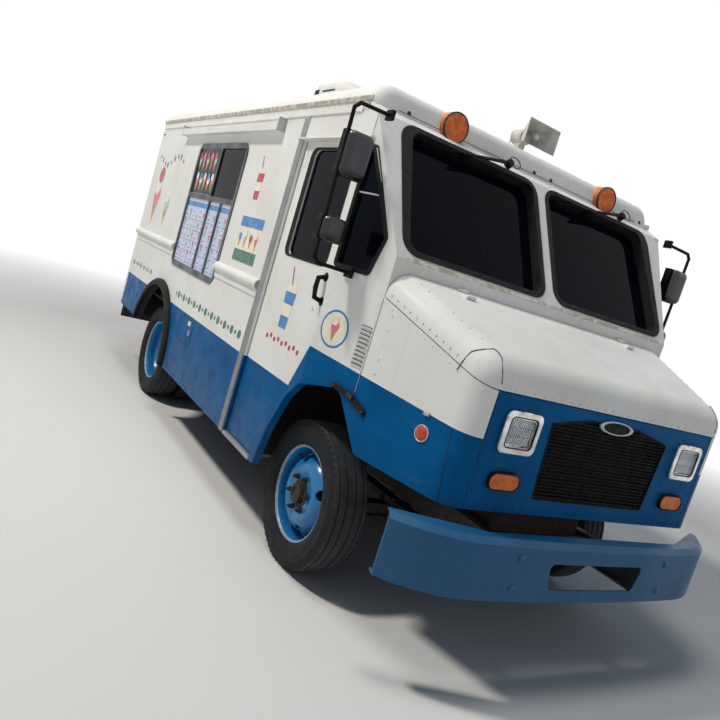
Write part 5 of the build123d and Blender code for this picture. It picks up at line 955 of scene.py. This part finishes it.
# Wheel flares: thick half-round rubber round each rear arch, held to the body side by a row of
# aluminium screws.
dress("wheel_flares", black_rubber)
screws = Shape()
for side in (-1, 1):
    for k in range(15):
        t = math.radians(18 + k * 11.6)
        spot = wall(side)(3.075 + 0.616 * math.cos(t), 0.44 + 0.616 * math.sin(t), 0.005)
        screws.domes([spot], (side, 0, 0), 0.006, 0.003, 10, 0)
screws.make("flare_screws", "truck", aluminium)

# Serving side: an aluminium window frame with one glass pane and menu panels behind acrylic, vinyl
# prints on the sheets, a small access door below and the awning case above.
dark_frame = surface("dark_anodised_aluminium", "4A4D50", "3C3E41", (0.35, 0.5), metallic=0.5,
                     patch_mm=160, bump_mm=0.04)
menu_face = surface("printed_menu_acrylic", "A9C3DD", "B9BEE0", (0.12, 0.25), patch_mm=240, bump_mm=0.02)
dress("serving_window_frame", dark_frame, bevel=0.0015)
dress("menu_panels", menu_face)
prints = []
for name, base, worn in (
        ("pink", "D96C86", "CF5A78"), ("tan", "C08A4C", "AE7A3E"), ("mint", "8FC9A8", "7EBB99"),
        ("red", "B81C3A", "A51731"), ("green", "0E6B4C", "0B5C41"), ("blue", "2C7FC0", "2270AE"),
        ("cream", "EDE6D2", "E2DAC3")):
    prints.append(surface(name + "_vinyl_print", base, worn, (0.25, 0.4), patch_mm=50, bump_mm=0.02))
prints.append(surface("navy_vinyl_print", "0C1120", "0A0E1A", (0.2, 0.35), patch_mm=90, bump_mm=0.02,
                      specular=0.1))
PINK, TAN, MINT, RED, GREEN, SKY, CREAM, NAVY = range(8)
LAYER = 0.0008


def flat_shape(shape, place, outline, slot, lift=0.0):
    """A thin printed shape on a panel."""
    shape.panel(place, outline, lift, lift + 0.0006, slot)


def circle(cx, cy, r, n=20):
    turns = [2 * math.pi * i / n for i in range(n)]
    return [(cx + r * math.cos(t), cy + r * math.sin(t)) for t in turns]


def cone(shape, place, cx, cy, h, scoops, lift=0.0):
    """A plain ice cream cone with scoops on it."""
    w = h * 0.2
    flat_shape(shape, place, [(cx, cy), (cx + w, cy + h * 0.55), (cx - w, cy + h * 0.55)], TAN, lift)
    for i, slot in enumerate(scoops):
        lean = 0.04 * h if i % 2 else -0.02 * h
        ball = circle(cx + lean, cy + h * (0.62 + 0.2 * i), w * (1.05 - 0.12 * i))
        flat_shape(shape, place, ball, slot, lift + LAYER * (i + 1))


def cup(shape, place, cx, cy, h, body, band):
    """A plain paper cup with a band, a domed lid and a straw."""
    w = h * 0.2

    def scaled(outline):
        return [(cx + w * a, cy + h * b) for a, b in outline]

    turns = [t / 8 * math.pi for t in range(9)]
    lid = [(-1, 0.6)] + [(math.cos(t), 0.6 + 0.18 * math.sin(t)) for t in turns]
    flat_shape(shape, place, scaled([(-0.7, 0), (0.7, 0), (1, 0.6), (-1, 0.6)]), body)
    flat_shape(shape, place, scaled([(-0.8, 0.2), (0.8, 0.2), (0.9, 0.4), (-0.9, 0.4)]), band, LAYER)
    flat_shape(shape, place, scaled(lid), CREAM, LAYER)
    flat_shape(shape, place, scaled([(0.1, 0.72), (0.25, 0.72), (0.75, 1), (0.6, 1)]), RED, LAYER * 2)


kerb = wall(-1)
on_panel = wall(-1, HALF - 0.0019)
on_door = wall(-1, DOOR_FACE)
menu = Shape()
flat_shape(menu, on_panel, rect(2.394, 1.872, 2.934, 2.244), NAVY)
for i in range(5):
    for j in range(2):
        flavour = ((PINK, CREAM), (MINT, RED), (CREAM, SKY), (RED, PINK))[(i * 2 + j) % 4]
        cone(menu, on_panel, 2.45 + i * 0.1 + j * 0.04, 1.885 + j * 0.17, 0.16, flavour, lift=LAYER)
for s0, s1 in ((1.84, 2.06), (2.10, 2.338), (2.378, 2.93)):
    flat_shape(menu, on_panel, rect(s0, 1.76, s1, 1.8), SKY)
    cols = max(2, round((s1 - s0) / 0.1))
    for i in range(cols):
        for j in range(5):
            s = s0 + (i + 0.5) * (s1 - s0) / cols
            z = 1.31 + j * 0.088
            if (i + j) % 2:
                cup(menu, on_panel, s, z, 0.07, CREAM, (RED, SKY, GREEN)[(i + j) % 3])
            else:
                cone(menu, on_panel, s, z, 0.075, ((CREAM,), (PINK,), (MINT, PINK))[(i + j) % 3])
            flat_shape(menu, on_panel, rect(s - 0.03, z - 0.012, s + 0.03, z - 0.008), NAVY)
menu.make("menu_panel_prints", "truck", *prints)

art = Shape()
cone(art, kerb, 4.06, 1.47, 0.5, (PINK, CREAM, RED))
cone(art, kerb, 3.62, 1.50, 0.36, (MINT, CREAM))
for i in range(9):
    dot = circle(3.42 + i * 0.105, 2.13 + 0.045 * math.sin(i * 0.9), 0.022 + 0.008 * (i % 2), 14)
    flat_shape(art, kerb, dot, (RED, SKY, GREEN)[i % 3])
for z0, z1, slot, lift in ((1.47, 1.78, CREAM, 0.0), (1.47, 1.55, GREEN, LAYER), (1.71, 1.78, SKY, LAYER)):
    flat_shape(art, kerb, rect(1.14, z0, 1.55, z1), slot, lift)
for i, scoops in enumerate(((PINK, CREAM), (RED,), (MINT, CREAM), (SKY,))):
    cone(art, kerb, 1.20 + i * 0.1, 1.565, 0.12, scoops, lift=0.0012)
cup(art, kerb, 1.425, 1.90, 0.30, RED, CREAM)
for count, s, z, small, large in ((22, 1.05, 1.03, 0.02, 0.03), (12, 3.54, 1.06, 0.018, 0.026)):
    for i in range(count):
        flat_shape(art, kerb, circle(s + i * 0.073, z, small if i % 2 else large, 4 if i % 2 else 14), GREEN)
art.make("side_prints", "truck", *prints)
door_art = Shape()
cup(door_art, on_door, 0.52, 1.20, 0.36, SKY, CREAM)
for i in range(9):
    flat_shape(door_art, on_door, circle(0.24 + i * 0.055, 1.12 + 0.012 * (i % 2), 0.016, 12), RED)
door_art.make("door_prints", "cab_door_kerb", *prints)
quarter_art = Shape()
flat_shape(quarter_art, flank(-1), circle(-0.06, 1.33, 0.1, 30), SKY)
flat_shape(quarter_art, flank(-1), circle(-0.06, 1.33, 0.088, 30), CREAM, LAYER)
cone(quarter_art, flank(-1), -0.06, 1.265, 0.13, (PINK, CREAM), lift=LAYER * 2)
quarter_art.make("quarter_panel_print", "truck", *prints)

access = Shape()
corners = [kerb(s, z, 0.0004) for s, z in rect(1.95, 0.716, 2.285, 0.905)]
for p, q in zip(corners, corners[1:] + corners[:1]):
    access.tube([p, q], 0.0022, 6, 1)
access.block(kerb(2.0, 0.79, 0.006), kerb(2.03, 0.83, -0.001), 0)
access.block(kerb(2.03, 0.86, 0.0015), kerb(2.09, 0.895, -0.001), 2)
access.make("access_door_outline", "truck", aluminium, black_gap, prints[CREAM], bevel=0.0008)
case = Shape()
for i in range(3):
    z = 2.372 + i * 0.018
    case.block(at(-1.2442, 1.25, z), at(-1.242, 3.476, z + 0.003), 0)
for s in (1.236, 3.482):
    case.block(at(-1.2435, s, 2.355), at(-1.184, s + 0.008, 2.443), 1)
case.make("awning_case_trim", "truck", white_paint, aluminium, bevel=0.001)

# Roof equipment: a moulded air conditioner with a louvred back, a low vent, and the horn
# loudspeaker on its bracket with a thin conduit clipped to the roof.
roof_plastic = surface("weathered_roof_plastic", "D9D9D4", "CECDC6", (0.5, 0.7), patch_mm=150, grain_mm=3)
chalky = surface("chalky_loudspeaker_plastic", "CFCFC8", "B4B2A9", (0.5, 0.7), patch_mm=60)
for name in ("roof_air_conditioner", "roof_vent"):
    dress(name, roof_plastic, bevel=0.003, angle=25)
dress("horn_speaker", chalky, bevel=0.002)
gear = Shape()
for i in range(12):
    z = 2.68 + i * 0.022
    slat = [at(-0.53, 2.4402, z), at(-0.53, 2.447, z + 0.006), at(-0.53, 2.4402, z + 0.014)]
    gear.prism(slat, (0.66, 0, 0), 1)
for place in (wall(-1, 0.5702), wall(1, 0.1702)):
    for i in range(7):
        z = 2.76 + i * 0.028
        gear.panel(place, rect(2.02, z, 2.24, z + 0.012), 0, 0.002, 1)
    gear.panel(place, rect(2.30, 2.74, 2.38, 2.95), 0, 0.002, 1)
mouth = at(0.095, 0.365, 2.776)
for k in range(16):
    t = 2 * math.pi * k / 16
    c, s = math.cos(t), math.sin(t)
    fin = [Vector((0.012 * c, 0, 0.012 * s)), Vector((0.034 * c, -0.012, 0.026 * s)),
           Vector((0.034 * c + 0.001, -0.012, 0.026 * s + 0.001))]
    gear.prism([mouth + p for p in fin], (0, 0.01, 0), 0)
gear.turned(at(0.095, 0.37, 2.776), (0, -1, 0), [(0, 0.022), (0.02, 0.02), (0.028, 0.012), (0.03, 0)], 24, 0)
gear.block(at(0.06, 0.43, 2.66), at(0.13, 0.55, 2.668), 2)
gear.make("roof_equipment_details", "truck", roof_plastic, black_gap, aluminium, bevel=0.0008)
conduit = Shape()
run = [at(0.05, 0.54, 2.745), at(0.05, 0.54, 2.655), at(0.045, 0.525, 2.6445), at(-0.16, 0.3, 2.6395)]
conduit.tube(run, 0.0045, 8, 0)
for s, x in ((0.48, 0.004), (0.36, -0.105)):
    conduit.block(at(x - 0.012, s - 0.005, 2.636), at(x + 0.012, s + 0.005, 2.6475), 0)
conduit.make("loudspeaker_conduit", "truck", roof_plastic)

# Rear doors: flat leaves with strap hinges, a grab handle and rubber-sealed windows, made like the
# usual back of such a van.
DOOR_BACK = 4.442
for side, name in ((1, "left"), (-1, "right")):
    place = behind(DOOR_BACK)
    leaf = Shape()
    mid = side * 0.55875
    pane = soft_rect(mid, 1.88, 0.268, 0.248, 0.04, 6)
    leaf.ring(place, soft_rect(mid, 1.88, 0.30, 0.28, 0.07, 6), pane, -0.004, 0.005, 0)
    x = side * 0.07
    leaf.tube([place(x, 1.18), place(x, 1.2, 0.04), place(x, 1.4, 0.04), place(x, 1.42)], 0.01, 10, 1)
    for z in (1.041, 1.657, 2.27):
        spots = [place(side * (1.0 + 0.03 * k), z + dz, 0.012) for k in range(4) for dz in (-0.016, 0.016)]
        leaf.domes(spots, (0, 1, 0), 0.006, 0.003, 8, 1)
    rivet_rows(leaf, place, (0, 1, 0), ((side * 0.03, 0.68, side * 0.03, 2.3, 0.09, 0.004, 0.002),), 2)
    leaf.make("rear_door_fittings_" + name, "rear_door_" + name, black_rubber, aluminium, white_paint,
              bevel=0.001)

# Cab interior and counter: black vinyl seat on a steel pedestal, moulded dashboard, thin-rimmed
# steering wheel and a folded aluminium counter.
vinyl = surface("worn_black_vinyl", "1C1C1D", "2B2928", (0.45, 0.65), patch_mm=90, grain_mm=4, bump_mm=0.3)
seat = dress("driver_seat", vinyl, bevel=0.012)
dress("dashboard", black_plastic, bevel=0.008)
dress("steering_wheel", black_plastic, angle=50)
dress("serving_counter", aluminium, bevel=0.002)

# Ground, light and camera: a pale studio floor that fades into white, a large soft lamp high on
# the kerb side, a weaker one in front, and the camera where the photo was taken.
FADE_FROM, FADE_TO = 5.0, 11.0
floor_paint = blank("pale_studio_floor")
reach = add_node(floor_paint, "VectorMath", {0: coords(floor_paint)}, operation="LENGTH").outputs["Value"]
fade = spread(floor_paint, reach, FADE_FROM, FADE_TO)
matte = add_node(floor_paint, "BsdfDiffuse", {"Color": linear("E4E3DF")})
glow = add_node(floor_paint, "Emission", {"Color": (1, 1, 1, 1), "Strength": 1.0})
both = add_node(floor_paint, "MixShader", {0: fade, 1: matte.outputs[0], 2: glow.outputs[0]})
add_node(floor_paint, "OutputMaterial", {0: both.outputs[0]})
ground = Shape()
ground.add([(-60, -60, 0), (60, -60, 0), (60, 60, 0), (-60, 60, 0)], [(0, 1, 2, 3)])
floor = ground.make("studio_floor", None, floor_paint)

world = bpy.data.worlds.new("studio")
bpy.context.scene.world = world
world.use_nodes = True
world.node_tree.nodes.clear()
path = add_node(world, "LightPath")
seen = calc(world, "MAXIMUM", path.outputs["Is Camera Ray"], path.outputs["Is Glossy Ray"])
seen = calc(world, "MAXIMUM", seen, path.outputs["Is Transmission Ray"])
soft = add_node(world, "Background", {"Color": linear("CFE0F5"), "Strength": 0.2})
white = add_node(world, "Background", {"Color": (1, 1, 1, 1), "Strength": 1.0})
sky_mix = add_node(world, "MixShader", {0: seen, 1: soft.outputs[0], 2: white.outputs[0]})
add_node(world, "OutputWorld", {0: sky_mix.outputs[0]})
for name, place, target, size, watts, colour in (
        ("key_kerb_side", (-7.4, 1.3, 11.05), (0, -0.5, 1.2), 1.4, 915, "FFFAF3"),
        ("top_soft", (-2.5, -1.7, 10.0), (0, -2.2, 1.2), 2.5, 225, "FFFFFF"),
        ("front_fill", (1.5, -10.0, 4.0), (0, 0, 1.2), 5.0, 25, "EAF2FF")):
    data = bpy.data.lights.new(name, "AREA")
    data.shape = "DISK"
    data.size = size
    data.energy = watts
    data.color = linear(colour)[:3]
    made = bpy.data.objects.new(name, data)
    bpy.context.scene.collection.objects.link(made)
    made.location = place
    made.rotation_euler = (Vector(target) - Vector(place)).to_track_quat("-Z", "Y").to_euler()

camera_data = bpy.data.cameras.new("photo_camera")
camera_data.sensor_fit = "HORIZONTAL"
camera_data.sensor_width = 36.0
camera_data.lens = 34.562
camera = bpy.data.objects.new("photo_camera", camera_data)
bpy.context.scene.collection.objects.link(camera)
right = Vector((0.824951, -0.484801, 0.290556))
up = Vector((-0.183201, 0.256964, 0.948898))
ahead = Vector((0.534689, 0.836025, -0.123166))
turn = Matrix((right, up, -ahead)).transposed().to_4x4()
camera.matrix_world = Matrix.Translation(Vector((-2.904016, -4.823541, 1.652495))) @ turn
bpy.context.scene.camera = camera
bpy.context.scene.view_settings.view_transform = "Standard"
